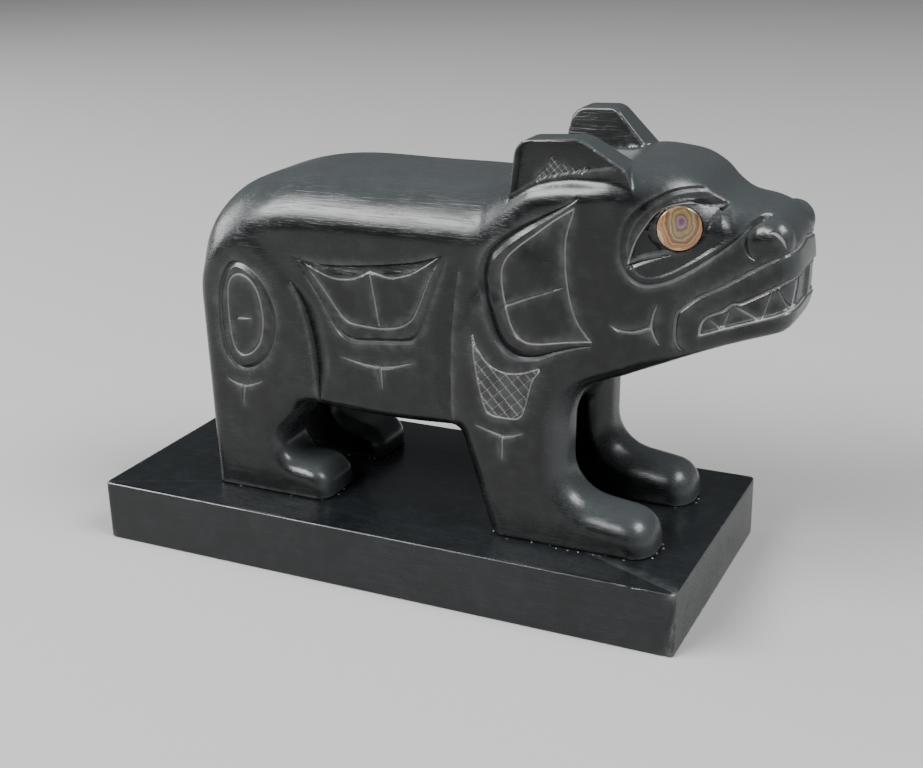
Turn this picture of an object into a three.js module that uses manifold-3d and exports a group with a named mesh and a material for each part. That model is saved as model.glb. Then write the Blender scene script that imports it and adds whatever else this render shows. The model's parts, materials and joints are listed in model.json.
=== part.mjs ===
// Argillite bear carving: a bear cut from one piece of dark stone, standing on a slab of the same stone,
// with a round shell disc set in each eye.
// Millimetres, +Z up. The origin is the centre of the slab's underside, +X is the way the bear looks, and its
// right side is -Y. The bear's own sizes are measured up from its soles, so a height of 0 is under its feet.

import * as THREE from 'three';
import { mergeVertices } from 'three/addons/utils/BufferGeometryUtils.js';
import Module from 'manifold-3d';

const wasm = await Module();
wasm.setup();

// Driving dimensions of the slab

const slabLength = 150;
const slabWidth = 66.7;
const slabHeight = 15.3;
const slabCorner = 1.2;
const slabArris = 0.5;

// Driving dimensions of the bear

const glueLine = 0.1;
const soleHeight = slabHeight + glueLine;

const rump = -56;
const back = 80.2;
const belly = 24;
const flank = 22;
const backEdge = 15;
const bellyEdge = 3.2;

const nose = 93;
const cheek = 21.8;
const headEdge = 6;
const jawEdge = 5;

const foreLegMiddle = 15;
const foreLegHalf = 7.5;
const foreLegEdge = 6;
const hindLegMiddle = 14;
const hindLegHalf = 7.8;
const hindLegEdge = 3.8;

const earMiddle = 16;
const earHalf = 3.6;
const earEdge = 0.5;
const earHollowDepth = 1.8;

const discRadius = 4.6;
const discThickness = 1.4;
const discDome = 0.35;
const discEase = 0.3;
const discFace = 0.25;
const discTurn = THREE.MathUtils.degToRad(19);
const discCentre = new THREE.Vector3(68.4, 17.1, 74.6);
const seatGap = 0.3;
const socketDepth = 0.7;
const lidDepth = 1.4;
const mouthDepth = 0.6;
const toothDepth = mouthDepth + 0.5;

const neckJoint = 6;
const legJoint = 2.5;

// Where the edges and the crown change their roundness, from one height or place along to another

const trunkEdgeRise = [40, 76];
const headEdgeRise = [55, 75];
const crown = { behind: 0.003, ahead: 0.012, change: [52, 64], rise: [62, 80], flatHalf: 4 };

// Outlines and distances
// An outline is a list of [x, height] points seen from the side, or [x, half width] points seen from above.

// A soft curve through a few points, as a list of close points.
function softCurve(points, closed = false, stepsEach = 6) {
  const stops = points.map(([x, z]) => new THREE.Vector3(x, z, 0));
  const curve = new THREE.CatmullRomCurve3(stops, closed, 'catmullrom', 0.5);
  const steps = stepsEach * (closed ? points.length : points.length - 1);
  const list = curve.getPoints(steps).map((p) => [p.x, p.y]);
  return closed ? list.slice(0, -1) : list;
}

// A closed outline of straight sides, each corner [x, height, radius] rounded by an arc.
function roundedOutline(corners, stepAngle = Math.PI / 12) {
  const outline = [];
  corners.forEach(([x, z, radius], i) => {
    const corner = new THREE.Vector2(x, z);
    const [lastX, lastZ] = corners.at(i - 1);
    const [nextX, nextZ] = corners[(i + 1) % corners.length];
    const before = new THREE.Vector2(lastX, lastZ).sub(corner).normalize();
    const after = new THREE.Vector2(nextX, nextZ).sub(corner).normalize();
    const half = Math.acos(before.dot(after)) / 2;
    const middle = before.clone().add(after).normalize().multiplyScalar(radius / Math.sin(half)).add(corner);
    const start = before.clone().multiplyScalar(radius / Math.tan(half)).add(corner);
    const turn = -Math.sign(before.cross(after)) * (Math.PI - 2 * half);
    const steps = radius > 0 ? Math.max(1, Math.ceil(Math.abs(turn) / stepAngle)) : 0;
    for (let k = 0; k <= steps; k += 1) {
      const p = start.clone().rotateAround(middle, steps ? (turn * k) / steps : 0);
      outline.push([p.x, p.y]);
    }
  });
  return outline;
}

// Both sides of a plan drawn as half widths along x.
function mirroredPlan(halfWidths) {
  return softCurve([...halfWidths, ...halfWidths.slice(1, -1).reverse().map(([x, w]) => [x, -w])], true);
}

// The distance to an outline's edge, below 0 inside it. Far outside, where nothing meets it, the distance
// to the rectangle round the outline is near enough.
function insideOf(outline) {
  const far = 15;
  const bounds = new THREE.Box2().setFromPoints(outline.map(([x, z]) => new THREE.Vector2(x, z)));
  return (x, z) => {
    const aside = Math.max(bounds.min.x - x, x - bounds.max.x, bounds.min.y - z, z - bounds.max.y);
    if (aside > far) return aside;
    let best = Infinity;
    let inside = false;
    for (let i = 0; i < outline.length; i += 1) {
      const [ax, az] = outline[i];
      const [bx, bz] = outline[(i + 1) % outline.length];
      const ex = bx - ax;
      const ez = bz - az;
      const reach = ex * ex + ez * ez;
      const t = reach > 0 ? Math.min(1, Math.max(0, ((x - ax) * ex + (z - az) * ez) / reach)) : 0;
      best = Math.min(best, (x - ax - ex * t) ** 2 + (z - az - ez * t) ** 2);
      if (az > z !== bz > z && x < (ex * (z - az)) / ez + ax) inside = !inside;
    }
    return inside ? -Math.sqrt(best) : Math.sqrt(best);
  };
}

// Where two solids meet: what both hold, with a round edge.
function roundMeet(a, b, radius) {
  return Math.hypot(Math.max(a + radius, 0), Math.max(b + radius, 0)) - radius
    + Math.min(Math.max(a, b) + radius, 0);
}

// Two solids joined with a soft hollow between them.
function softJoin(a, b, width) {
  const share = Math.max(width - Math.abs(a - b), 0) / width;
  return Math.min(a, b) - (share * share * width) / 4;
}

const { smoothstep, lerp } = THREE.MathUtils;

// The masses of the bear, each given by its side view and its width

const trunkSide = insideOf(softCurve([
  [-22, belly + 1], [-40, belly], [-49, 28], [-54.3, 40], [rump, 50], [-55.7, 60], [-50.7, 68.6],
  [-41, 74.7], [-30, back - 1.7], [-17, back], [2, back], [22, back], [36, back - 1.2], [46, 68],
  [48.5, 52], [45, 37], [41.5, 28.6], [35, 25.8], [18, belly + 0.6], [0, belly],
], true));
const trunkPlan = insideOf(mirroredPlan([
  [rump - 0.4, 0], [-55.6, 8], [-53, 14], [-47.5, 18.8], [-38, 21.3], [-22, flank], [0, flank - 0.4],
  [20, flank - 0.8], [38, 21], [48, 19.5], [52, 14], [53, 0],
]));
const headSide = insideOf(softCurve([
  [24, 50], [23, 66], [24.5, 74], [30, 79.6], [36, 83.2], [43, 85], [51, 85.9], [58, 87], [65, 86.6],
  [70.5, 84.2], [74.5, 80.8], [78, 79], [83, 78.2], [87.4, 76.4], [nose - 1.9, 72.6], [nose, 67.5],
  [nose + 0.2, 61.5], [nose - 0.7, 56.2], [89.6, 52.6], [82.5, 50.1], [72, 46.6], [62, 43], [53, 39.5],
  [43, 36.5], [32, 40],
], true));
const headPlan = insideOf(mirroredPlan([
  [23, 0], [24, 14], [27, 19.5], [34, cheek - 0.3], [46, cheek], [57, 20.6], [65, 18.6], [72, 16],
  [79, 13.6], [86, 12.4], [90.6, 11], [nose, 7.2], [nose + 0.5, 0],
]));
const foreLegSide = insideOf(roundedOutline([
  [16.7, 48, 0], [17.5, 27.4, 6], [27, -4, 0], [65.5, -4, 0], [65.5, 8.5, 6.6], [44.3, 11.4, 9],
  [44.7, 30, 14], [48.5, 46, 4], [40, 60, 8], [24, 60, 8],
]));
const hindLegSide = insideOf(roundedOutline([
  [-50.4, 62, 8], [-49.1, -4, 0], [-16.5, -4, 0], [-16.5, 7.5, 5.6], [-34.6, 9.2, 5], [-16.6, 29.5, 4],
  [-18.5, 50, 14], [-32, 66, 12],
]));

// The left ear stands a little higher and shorter than the right one
const rightEar = {
  outline: roundedOutline([
    [30.6, 74, 0], [33.2, 91.2, 4], [47.6, 92.1, 5.2], [57.3, 86.2, 0.8], [59.4, 81, 1], [56, 74, 0],
  ]),
  hollow: roundedOutline([
    [31.6, 79.5, 0], [33.9, 90.7, 3.4], [47.4, 91.4, 4.8], [55.4, 86.6, 0.3], [44.8, 84.9, 4], [38.1, 83, 3],
  ]),
};
const leftEar = {
  outline: roundedOutline([
    [30.8, 74, 0], [33.6, 93.1, 4], [43.8, 93.4, 3.5], [54.2, 83, 1], [51.5, 74, 0],
  ]),
  hollow: roundedOutline([
    [31.9, 79.6, 0], [34.3, 92.5, 3.4], [43.5, 92.8, 3], [50.2, 85.8, 0.3], [44.8, 84.9, 3], [38.1, 83, 3],
  ]),
};

// Hollows seen from the side: the eye's socket, the opening between its lids, and the mouth

const upperLid = [
  [77.2, 78.9], [73.5, 79.6], [70, 80], [66.5, 79.4], [63.7, 77.4], [61.6, 74.5], [59.8, 71.3], [58.5, 67],
];
const lowerLid = [
  [58.5, 67], [62.5, 68.5], [66, 69.2], [69.5, 69.6], [72, 70.9], [73.8, 73.3], [75, 77], [77.2, 78.9],
];
const socketEdge = [
  [76.5, 80.2], [74, 81.3], [71, 82.4], [67.5, 82.4], [64.5, 81.3], [61, 79], [58.3, 75.7], [57, 71.5],
  [57.2, 67.3], [58.8, 64.4], [61.5, 62.6], [65.5, 63], [70, 65.1], [75, 68.6], [79, 72],
];
const noseLine = [[81.5, 75], [83.4, 76.6], [86, 77.4]];
const upperTeethLine = [
  [96, 65.3], [91.5, 64.5], [88.5, 63.1], [85.2, 61.2], [81, 58.9], [79.1, 58.5], [77.2, 57], [74.4, 55.7],
  [73.3, 54], [73, 51.8],
];
const lowerTeethLine = [[73, 51.8], [77, 53.1], [83, 55.1], [87.5, 56.6], [91.2, 57.8], [96, 58.6]];

const hollowSteps = 2;
const hollowLine = (points) => softCurve(points, false, hollowSteps);
const socket = hollowLine(socketEdge);
const eyeOpening = [...hollowLine(upperLid), ...hollowLine(lowerLid)];
const mouth = [...hollowLine(upperTeethLine), ...hollowLine(lowerTeethLine)];

const eyeball = { x: discCentre.x, y: discCentre.y - 3.5, z: discCentre.z, rx: 8.4, ry: 3.2, rz: 6.4 };
const underLids = 1.01;
const eyeballRim = eyeOpening.map(([x, z]) => [
  lerp(eyeball.x, x, underLids),
  lerp(eyeball.z, z, underLids),
]);
const nostril = { x: 85.9, y: 9.6, z: 72.1, rx: 4.3, ry: 3.6, rz: 4.4 };

// The bear's surface without its fine cuts: the distance from a point, below 0 inside the stone.
function stone(x, signedY, z) {
  const y = Math.abs(signedY);
  const trunkEdge = lerp(bellyEdge, backEdge, smoothstep(z, ...trunkEdgeRise));
  const trunk = roundMeet(trunkSide(x, z), trunkPlan(x, y), trunkEdge);

  const roundness = lerp(crown.behind, crown.ahead, smoothstep(x, ...crown.change));
  const sunk = roundness * Math.max(y - crown.flatHalf, 0) ** 2 * smoothstep(z, ...crown.rise);
  const edge = lerp(jawEdge, headEdge, smoothstep(z, ...headEdgeRise));
  const head = roundMeet(headSide(x, z) + sunk, headPlan(x, y), edge);

  const foreLeg = roundMeet(foreLegSide(x, z), Math.abs(y - foreLegMiddle) - foreLegHalf, foreLegEdge);
  const hindLeg = roundMeet(hindLegSide(x, z), Math.abs(y - hindLegMiddle) - hindLegHalf, hindLegEdge);

  let whole = softJoin(trunk, head, neckJoint);
  whole = softJoin(whole, foreLeg, legJoint);
  return softJoin(whole, hindLeg, legJoint);
}

// The skin: a closed mesh laid on the surface of the stone

const gridStep = 4.4;
const widestEdge = 16;
const shortestEdge = 2.2;
const sag = 0.25;
const spareSag = 0.3;
const thinnest = 0.8;
const leastAgreement = 0.85;
const closeEnough = 0.004;
const leastSteepness = 0.2;
const evening = 0.4;
const mostRounds = 8;
const box = { min: [-64.1, -33, -12.5], max: [107.5, 33, 97.5] };

function slope(p) {
  const step = 0.05;
  const g = [0, 1, 2].map((axis) => {
    const ahead = [...p];
    const behind = [...p];
    ahead[axis] += step;
    behind[axis] -= step;
    return (stone(...ahead) - stone(...behind)) / (2 * step);
  });
  return g;
}

function outOf(p) {
  return new THREE.Vector3(...slope([...p])).normalize();
}

// Moves a point along the slope until it lies on the surface.
function settle(p, rounds = 4) {
  let q = p;
  for (let i = 0; i < rounds; i += 1) {
    const value = stone(...q);
    if (Math.abs(value) < closeEnough) break;
    const g = slope(q);
    const steep = Math.max(leastSteepness, g[0] ** 2 + g[1] ** 2 + g[2] ** 2);
    q = q.map((c, axis) => c - (value * g[axis]) / steep);
  }
  return q;
}

// A first coarse skin: one point for each grid cube that the surface crosses.
function coarseSkin() {
  const counts = box.min.map((low, axis) => Math.round((box.max[axis] - low) / gridStep) + 1);
  const index = (i, j, k) => (i * counts[1] + j) * counts[2] + k;
  const at = (...cell) => cell.map((count, axis) => box.min[axis] + count * gridStep);
  const values = new Float64Array(counts[0] * counts[1] * counts[2]);
  for (let i = 0; i < counts[0]; i += 1) {
    for (let j = 0; j < counts[1]; j += 1) {
      for (let k = 0; k < counts[2]; k += 1) values[index(i, j, k)] = stone(...at(i, j, k));
    }
  }
  const corners = [0, 1, 2, 3, 4, 5, 6, 7].map((c) => [c & 1, (c >> 1) & 1, c >> 2]);
  const cubeEdges = [];
  corners.forEach((a, m) => corners.forEach((b, n) => {
    const apart = a.reduce((sum, c, axis) => sum + Math.abs(c - b[axis]), 0);
    if (m < n && apart === 1) cubeEdges.push([a, b]);
  }));
  const points = [];
  const pointOf = new Map();
  for (let i = 0; i < counts[0] - 1; i += 1) {
    for (let j = 0; j < counts[1] - 1; j += 1) {
      for (let k = 0; k < counts[2] - 1; k += 1) {
        const sum = [0, 0, 0];
        let crossings = 0;
        for (const [a, b] of cubeEdges) {
          const va = values[index(i + a[0], j + a[1], k + a[2])];
          const vb = values[index(i + b[0], j + b[1], k + b[2])];
          if (va < 0 !== vb < 0) {
            const t = va / (va - vb);
            const pa = at(i + a[0], j + a[1], k + a[2]);
            const pb = at(i + b[0], j + b[1], k + b[2]);
            for (let axis = 0; axis < 3; axis += 1) sum[axis] += lerp(pa[axis], pb[axis], t);
            crossings += 1;
          }
        }
        if (crossings > 0) {
          pointOf.set(index(i, j, k), points.length);
          points.push(settle(sum.map((c) => c / crossings)));
        }
      }
    }
  }
  const triangles = [];
  const sides = [[0, 1, 2], [1, 2, 0], [2, 0, 1]];
  for (let i = 1; i < counts[0] - 1; i += 1) {
    for (let j = 1; j < counts[1] - 1; j += 1) {
      for (let k = 1; k < counts[2] - 1; k += 1) {
        const here = values[index(i, j, k)];
        for (const [axis, u, v] of sides) {
          const next = [i, j, k];
          next[axis] += 1;
          const there = values[index(...next)];
          if (here < 0 === there < 0) continue;
          const ring = [[0, 0], [1, 0], [1, 1], [0, 1]].map(([du, dv]) => {
            const cube = [i, j, k];
            cube[u] -= du;
            cube[v] -= dv;
            return pointOf.get(index(...cube));
          });
          if (here > 0) ring.reverse();
          const [a, b, c, d] = ring;
          const shorter = distance(points[a], points[c]) < distance(points[b], points[d]);
          if (shorter) triangles.push([a, b, c], [a, c, d]);
          else triangles.push([a, b, d], [b, c, d]);
        }
      }
    }
  }
  return { points, triangles };
}

function distance(p, q) {
  return Math.hypot(p[0] - q[0], p[1] - q[1], p[2] - q[2]);
}

// Cuts every triangle that has a new point on one, two or three of its edges.
function splitTriangles(mesh, middles) {
  const count = mesh.keyCount;
  const key = (a, b) => (a < b ? a * count + b : b * count + a);
  const triangles = [];
  for (const [a, b, c] of mesh.triangles) {
    const ab = middles.get(key(a, b));
    const bc = middles.get(key(b, c));
    const ca = middles.get(key(c, a));
    const cuts = [ab, bc, ca].filter((m) => m !== undefined).length;
    if (cuts === 0) {
      triangles.push([a, b, c]);
    } else if (cuts === 3) {
      triangles.push([a, ab, ca], [ab, b, bc], [ca, bc, c], [ab, bc, ca]);
    } else {
      // turned so that the one cut edge is p-q, or the two cut edges are p-q and q-r
      let turned = [a, b, c, ab, bc];
      if (cuts === 1 ? bc !== undefined : ab === undefined) turned = [b, c, a, bc, ca];
      else if (cuts === 1 ? ca !== undefined : bc === undefined) turned = [c, a, b, ca, ab];
      const [p, q, r, pq, qr] = turned;
      if (cuts === 1) {
        triangles.push([p, pq, r], [pq, q, r]);
      } else {
        triangles.push([pq, q, qr]);
        const near = distance(mesh.points[p], mesh.points[qr]) < distance(mesh.points[pq], mesh.points[r]);
        if (near) triangles.push([p, pq, qr], [p, qr, r]);
        else triangles.push([p, pq, r], [pq, qr, r]);
      }
    }
  }
  mesh.triangles = triangles;
}

function forEachEdge(mesh, visit) {
  const count = mesh.points.length;
  mesh.keyCount = count;
  const seen = new Set();
  for (const [a, b, c] of mesh.triangles) {
    for (const [p, q] of [[a, b], [b, c], [c, a]]) {
      const low = Math.min(p, q);
      const high = Math.max(p, q);
      const key = low * count + high;
      if (!seen.has(key)) {
        seen.add(key);
        visit(low, high, key);
      }
    }
  }
}

// Halves edges until the skin follows the surface closely.
function refine(mesh) {
  for (let round = 0; round < mostRounds; round += 1) {
    const wanted = new Set();
    forEachEdge(mesh, (a, b, key) => {
      const p = mesh.points[a];
      const q = mesh.points[b];
      const long = distance(p, q);
      if (long < shortestEdge) return;
      const middle = p.map((c, axis) => (c + q[axis]) / 2);
      if (long > widestEdge || Math.abs(stone(...middle)) > sag) wanted.add(key);
    });
    if (wanted.size === 0) break;
    const count = mesh.points.length;
    const key = (a, b) => (a < b ? a * count + b : b * count + a);
    for (let grown = true; grown;) {
      grown = false;
      for (const [a, b, c] of mesh.triangles) {
        const edges = [[a, b], [b, c], [c, a]];
        if (!edges.some(([p, q]) => wanted.has(key(p, q)))) continue;
        const longest = edges.reduce((best, edge) => {
          const long = distance(mesh.points[edge[0]], mesh.points[edge[1]]);
          return long > best.long + 1e-9 ? { long, edge } : best;
        }, { long: 0 }).edge;
        if (!wanted.has(key(...longest))) {
          wanted.add(key(...longest));
          grown = true;
        }
      }
    }
    const middles = new Map();
    forEachEdge(mesh, (a, b, edgeKey) => {
      if (!wanted.has(edgeKey)) return;
      middles.set(edgeKey, mesh.points.length);
      mesh.points.push(settle(mesh.points[a].map((c, axis) => (c + mesh.points[b][axis]) / 2)));
    });
    splitTriangles(mesh, middles);
  }
}

// Takes out points where the skin can spare them, so that its flat parts have few triangles.
function thinOut(mesh) {
  const around = mesh.points.map(() => new Set());
  mesh.triangles.forEach((triangle, i) => triangle.forEach((p) => around[p].add(i)));
  const outs = mesh.points.map((p) => outOf(p));
  const neighbours = (p) => new Set([...around[p]].flatMap((i) => mesh.triangles[i]).filter((q) => q !== p));
  const costs = new Map();
  const key = (a, b) => (a < b ? `${a} ${b}` : `${b} ${a}`);
  const weigh = (a, b) => {
    const ring = [...neighbours(a), ...neighbours(b)].filter((p) => p !== a && p !== b);
    const hub = new Set(ring);
    if (ring.length - hub.size !== 2 || hub.size < 5) return null;
    const place = settle(mesh.points[a].map((c, axis) => (c + mesh.points[b][axis]) / 2), 2);
    const out = outOf(place);
    let worst = 0;
    for (const p of hub) {
      const spoke = distance(mesh.points[p], place);
      if (spoke > widestEdge) return null;
      worst = Math.max(worst, Math.abs(stone(...middleOf([mesh.points[p], place]))));
      if (worst > spareSag) return null;
    }
    for (const end of [a, b]) {
      for (const i of around[end]) {
        const triangle = mesh.triangles[i];
        if (triangle.includes(a) && triangle.includes(b)) continue;
        const corners = triangle.map((p) => (p === end ? place : mesh.points[p]));
        const agreed = triangle.reduce((sum, p) => sum.add(p === end ? out : outs[p]), new THREE.Vector3());
        if (!soundTriangle(corners, agreed)) return null;
        worst = Math.max(worst, Math.abs(stone(...middleOf(corners))));
        if (worst > spareSag) return null;
      }
    }
    return { a, b, place, out, worst };
  };
  forEachEdge(mesh, (a, b) => costs.set(key(a, b), weigh(a, b)));
  for (let spared = true; spared;) {
    spared = false;
    const order = [...costs.values()].filter((cost) => cost).sort((m, n) => m.worst - n.worst);
    const touched = new Set();
    const changed = new Set();
    for (const { a, b, place, out } of order) {
      const near = new Set([...neighbours(a), ...neighbours(b)]);
      if ([...near].some((p) => touched.has(p))) continue;
      near.forEach((p) => touched.add(p));
      near.forEach((p) => costs.delete(key(b, p)));
      [...around[b]].forEach((i) => {
        const triangle = mesh.triangles[i];
        if (triangle.includes(a)) {
          triangle.forEach((p) => around[p].delete(i));
          mesh.triangles[i] = null;
        } else {
          mesh.triangles[i] = triangle.map((p) => (p === b ? a : p));
          around[a].add(i);
        }
      });
      around[b].clear();
      mesh.points[a] = place;
      outs[a] = out;
      neighbours(a).forEach((p) => changed.add(p));
      spared = true;
    }
    const edges = new Map();
    changed.forEach((p) => neighbours(p).forEach((q) => edges.set(key(p, q), [p, q])));
    edges.forEach(([p, q], edge) => costs.set(edge, weigh(p, q)));
  }
  const kept = mesh.points.map((p, i) => i).filter((i) => around[i].size > 0);
  const renumbered = new Map(kept.map((p, i) => [p, i]));
  mesh.points = kept.map((i) => mesh.points[i]);
  mesh.triangles = mesh.triangles.filter((t) => t).map((t) => t.map((p) => renumbered.get(p)));
}

function middleOf(places) {
  return [0, 1, 2].map((axis) => places.reduce((sum, p) => sum + p[axis], 0) / places.length);
}

// Whether a triangle is not too thin and faces the way its corners agree on.
function soundTriangle([p, q, r], agreed) {
  const a = new THREE.Vector3(...p);
  const b = new THREE.Vector3(...q);
  const c = new THREE.Vector3(...r);
  const cross = b.clone().sub(a).cross(c.clone().sub(a));
  const longest = Math.max(a.distanceTo(b), b.distanceTo(c), c.distanceTo(a));
  return cross.length() / longest > thinnest && cross.normalize().dot(agreed.normalize()) > leastAgreement;
}

// Evens out the points along the surface.
function relax(mesh, rounds) {
  for (let round = 0; round < rounds; round += 1) {
    const sums = mesh.points.map(() => [0, 0, 0, 0]);
    forEachEdge(mesh, (a, b) => {
      for (let axis = 0; axis < 3; axis += 1) {
        sums[a][axis] += mesh.points[b][axis];
        sums[b][axis] += mesh.points[a][axis];
      }
      sums[a][3] += 1;
      sums[b][3] += 1;
    });
    mesh.points = mesh.points.map((p, i) => {
      return settle(p.map((c, axis) => lerp(c, sums[i][axis] / sums[i][3], evening)));
    });
  }
}

// Fine cuts: V grooves along lines drawn on the side of the bear, the same on both sides. A cut has a width
// to the left and to the right of its line, as the line runs, and a depth. A fading end narrows to nothing.
// The finest lines are cut on the right side only, and the left one is plainer.

const cuts = [];
const lineStep = 8;
const lineSag = 0.28;

function cut(points, left, right, depth, { fade = 'none', closed = false, fine = false } = {}) {
  cuts.push({ line: thinned(softCurve(points, closed, 12), closed), left, right, depth, fade, closed, fine });
}

// Keeps only the points of a close line that its bends and its length need.
function thinned(line, closed) {
  const kept = [0];
  for (let i = 2; i < line.length; i += 1) {
    const [ax, az] = line[kept.at(-1)];
    const [bx, bz] = line[i];
    const long = Math.hypot(bx - ax, bz - az);
    let off = 0;
    for (let k = kept.at(-1) + 1; k < i; k += 1) {
      off = Math.max(off, Math.abs((bx - ax) * (line[k][1] - az) - (bz - az) * (line[k][0] - ax)) / long);
    }
    if (off > lineSag || long > lineStep) kept.push(i - 1);
  }
  if (!closed) kept.push(line.length - 1);
  return kept.map((i) => line[i]);
}

// A mark of arms and a stem that meet in one place, thick there and thin at the tips.
function mark(meeting, tips, width, depth) {
  tips.forEach((tip) => cut([meeting, ...tip], width / 2, width / 2, depth, { fade: 'end' }));
}

const fades = {
  none: () => 1,
  start: (t) => t ** 0.6,
  end: (t) => (1 - t) ** 0.6,
  both: (t) => Math.min(1, (3.5 * Math.min(t, 1 - t)) ** 0.7),
};

// Hip and shoulder lines, where the flank dips behind the thigh and the fore leg
cut([[-23.2, 56], [-20.2, 50.5], [-18.4, 44.5], [-17.5, 38], [-17.1, 32], [-17, 25.5]], 4, 0.5, 1,
  { fade: 'both' });
cut([[20.3, 62.5], [18.7, 56], [17.8, 47], [17.3, 38], [17.3, 30], [18, 24.5]], 0.5, 3, 0.7,
  { fade: 'both' });

// Flank: a wide U under a two-lobed top, and a mark below it
cut([
  [-21.8, 61.3], [-16.5, 60.2], [-11.5, 60], [-2, 60.8], [7.6, 62.2], [11.8, 63.3], [16.6, 65],
], 0.3, 2, 0.55, { fade: 'both' });
cut([
  [-19.3, 60.2], [-16.6, 58.9], [-12.4, 57.4], [-9, 57.2], [-5.5, 57.9], [-2, 59.6],
], 0.3, 0.5, 0.4, { fade: 'start', fine: true });
cut([
  [-2, 59.6], [2.6, 58.7], [6, 59.3], [9.3, 60.5], [13.6, 63.2], [15.8, 64.6],
], 0.3, 0.5, 0.4, { fade: 'end', fine: true });
cut([
  [-20.8, 60.6], [-14.8, 51.4], [-11, 45.2], [-8.6, 43.1], [-6, 42.6], [-1, 43], [6.6, 43.8], [9, 45],
  [10.5, 47.5], [13, 54], [16, 61.6], [17.3, 64.8],
], 1, 0.6, 0.65, { fade: 'both' });
cut([
  [-18.6, 59.6], [-15.1, 55.7], [-10.7, 49.6], [-8.9, 47.6], [-7, 46.8], [-1, 46.4], [2.8, 46.8],
  [5.4, 47.5], [7.8, 49], [9.6, 51.7], [12.7, 58.8], [15.8, 64],
], 0.3, 0.5, 0.45, { fade: 'both', fine: true });
cut([[-2, 59.3], [-0.1, 47]], 0.3, 0.3, 0.3, { fine: true });
mark([-0.4, 36.8], [
  [[-5, 37.1], [-11.6, 38.6]],
  [[3.4, 37.5], [9.3, 39.4]],
  [[0.1, 30.8]],
], 1.1, 0.55);

// Rump: an egg-shaped ring with a wedge in it, and a mark below it
cut([
  [-38.3, 58.3], [-31, 54.7], [-27.4, 46.5], [-29, 38], [-34.5, 32.7], [-40, 32.4], [-43.2, 38.5],
  [-42.9, 51],
], 0.5, 1, 0.55, { closed: true });
cut([
  [-37.6, 55.6], [-33, 53.4], [-31.1, 46.5], [-32.1, 39.8], [-35.4, 36.1], [-38.9, 35.8], [-40.7, 40.5],
  [-40.6, 51.8],
], 0.4, 0.4, 0.4, { closed: true, fine: true });
cut([[-38.1, 44.7], [-34, 44.9]], 0.5, 0.5, 0.45, { fade: 'end' });
mark([-38, 27.3], [
  [[-40.7, 27.7], [-43.3, 29]],
  [[-34.7, 28.3], [-31.4, 29.9]],
  [[-39, 21.6]],
], 1, 0.5);

// Shoulder: a broad band round a field with a bar across it
cut([
  [48.4, 80.3], [43.7, 77.5], [38.6, 74.7], [34.5, 72.3], [30.6, 69.6], [27.6, 66.6], [26, 63],
  [25.9, 59.5], [27.5, 55], [29.3, 49.5], [31.5, 46.2], [35, 44.5], [39.3, 45], [43.2, 46.5], [47.5, 47.7],
  [52.4, 48.6],
], 1.9, 0.9, 0.85, { fade: 'both' });
cut([
  [47.2, 78.2], [42.5, 75.1], [38.8, 72.2], [34.7, 69], [32.2, 66.4], [31, 63.5], [31.1, 59.5],
  [32.2, 55.2], [33.2, 51.8], [34.8, 49.3], [37, 48.1], [40, 48.2], [45, 49], [51.2, 49.5],
], 0.35, 0.35, 0.35, { fine: true });
cut([
  [47, 77.5], [45.6, 73], [45.1, 68.5], [45.4, 63.5], [46.4, 58], [48, 53.5], [50.4, 50],
], 0.35, 0.35, 0.4, { fine: true });
cut([[45.3, 61], [38.5, 58.6], [31.9, 55.9]], 0.6, 0.3, 0.5, { fade: 'start', fine: true });

// Fore leg: a mark
mark([30.5, 24.9], [
  [[26.5, 26], [23.6, 27]],
  [[33.3, 25.5], [36, 26.6]],
  [[30.5, 18.3]],
], 1, 0.5);

// Head: the socket's edge, which runs on to the nose, the lids, the cheek's mark, the lip and the teeth
cut([...socketEdge, ...noseLine], 1.2, 0.5, 0.75, { fade: 'both' });
cut(upperLid, 0.3, 0.3, 0.3, { fine: true });
mark([63.4, 53.4], [
  [[60, 52.3], [57, 52.5], [54.8, 54]],
  [[64, 56.5], [64.9, 59.2]],
  [[64.2, 51.3], [65.4, 49.6]],
], 0.9, 0.5);
cut([
  [96, 71.2], [91.2, 70.2], [88, 69.2], [83.6, 66.7], [77.2, 62.6], [72.8, 60.4], [70, 58.2], [68.5, 56.5],
  [68.1, 53], [68.3, 50.4], [69.1, 48.3],
], 0.6, 0.35, 0.55);
const teeth = [
  [[74.3, 55.7], [76.9, 53.3]],
  [[78.9, 58.5], [77.6, 53.6]],
  [[79.2, 58.3], [84.2, 55.6]],
  [[86.9, 62.2], [85.2, 56]],
  [[87.4, 62.8], [90.8, 57.8]],
  [[91.7, 64], [91, 58]],
];
teeth.forEach((side) => cut(side, 0.35, 0.35, toothDepth, { fine: true }));

// Nose: the groove round the knob of the nostril
const ringGap = { x: 0.4, z: 0.3 };
const turns = [0, 1, 2, 3, 4, 5, 6, 7].map((k) => (k * Math.PI) / 4);
const nostrilRing = turns.map((turn) => [
  nostril.x + (nostril.rx + ringGap.x) * Math.cos(turn),
  nostril.z + (nostril.rz + ringGap.z) * Math.sin(turn),
]);
cut(nostrilRing, 0.5, 0.7, 0.6, { closed: true, fine: true });

// Solids

const { Manifold, Mesh } = wasm;

function solidOf(geometry) {
  const bare = geometry.clone();
  bare.deleteAttribute('normal');
  bare.deleteAttribute('uv');
  const merged = mergeVertices(bare, 1e-5);
  return new Manifold(new Mesh({
    numProp: 3,
    vertProperties: Float32Array.from(merged.attributes.position.array),
    triVerts: Uint32Array.from(merged.index.array),
  }));
}

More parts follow.
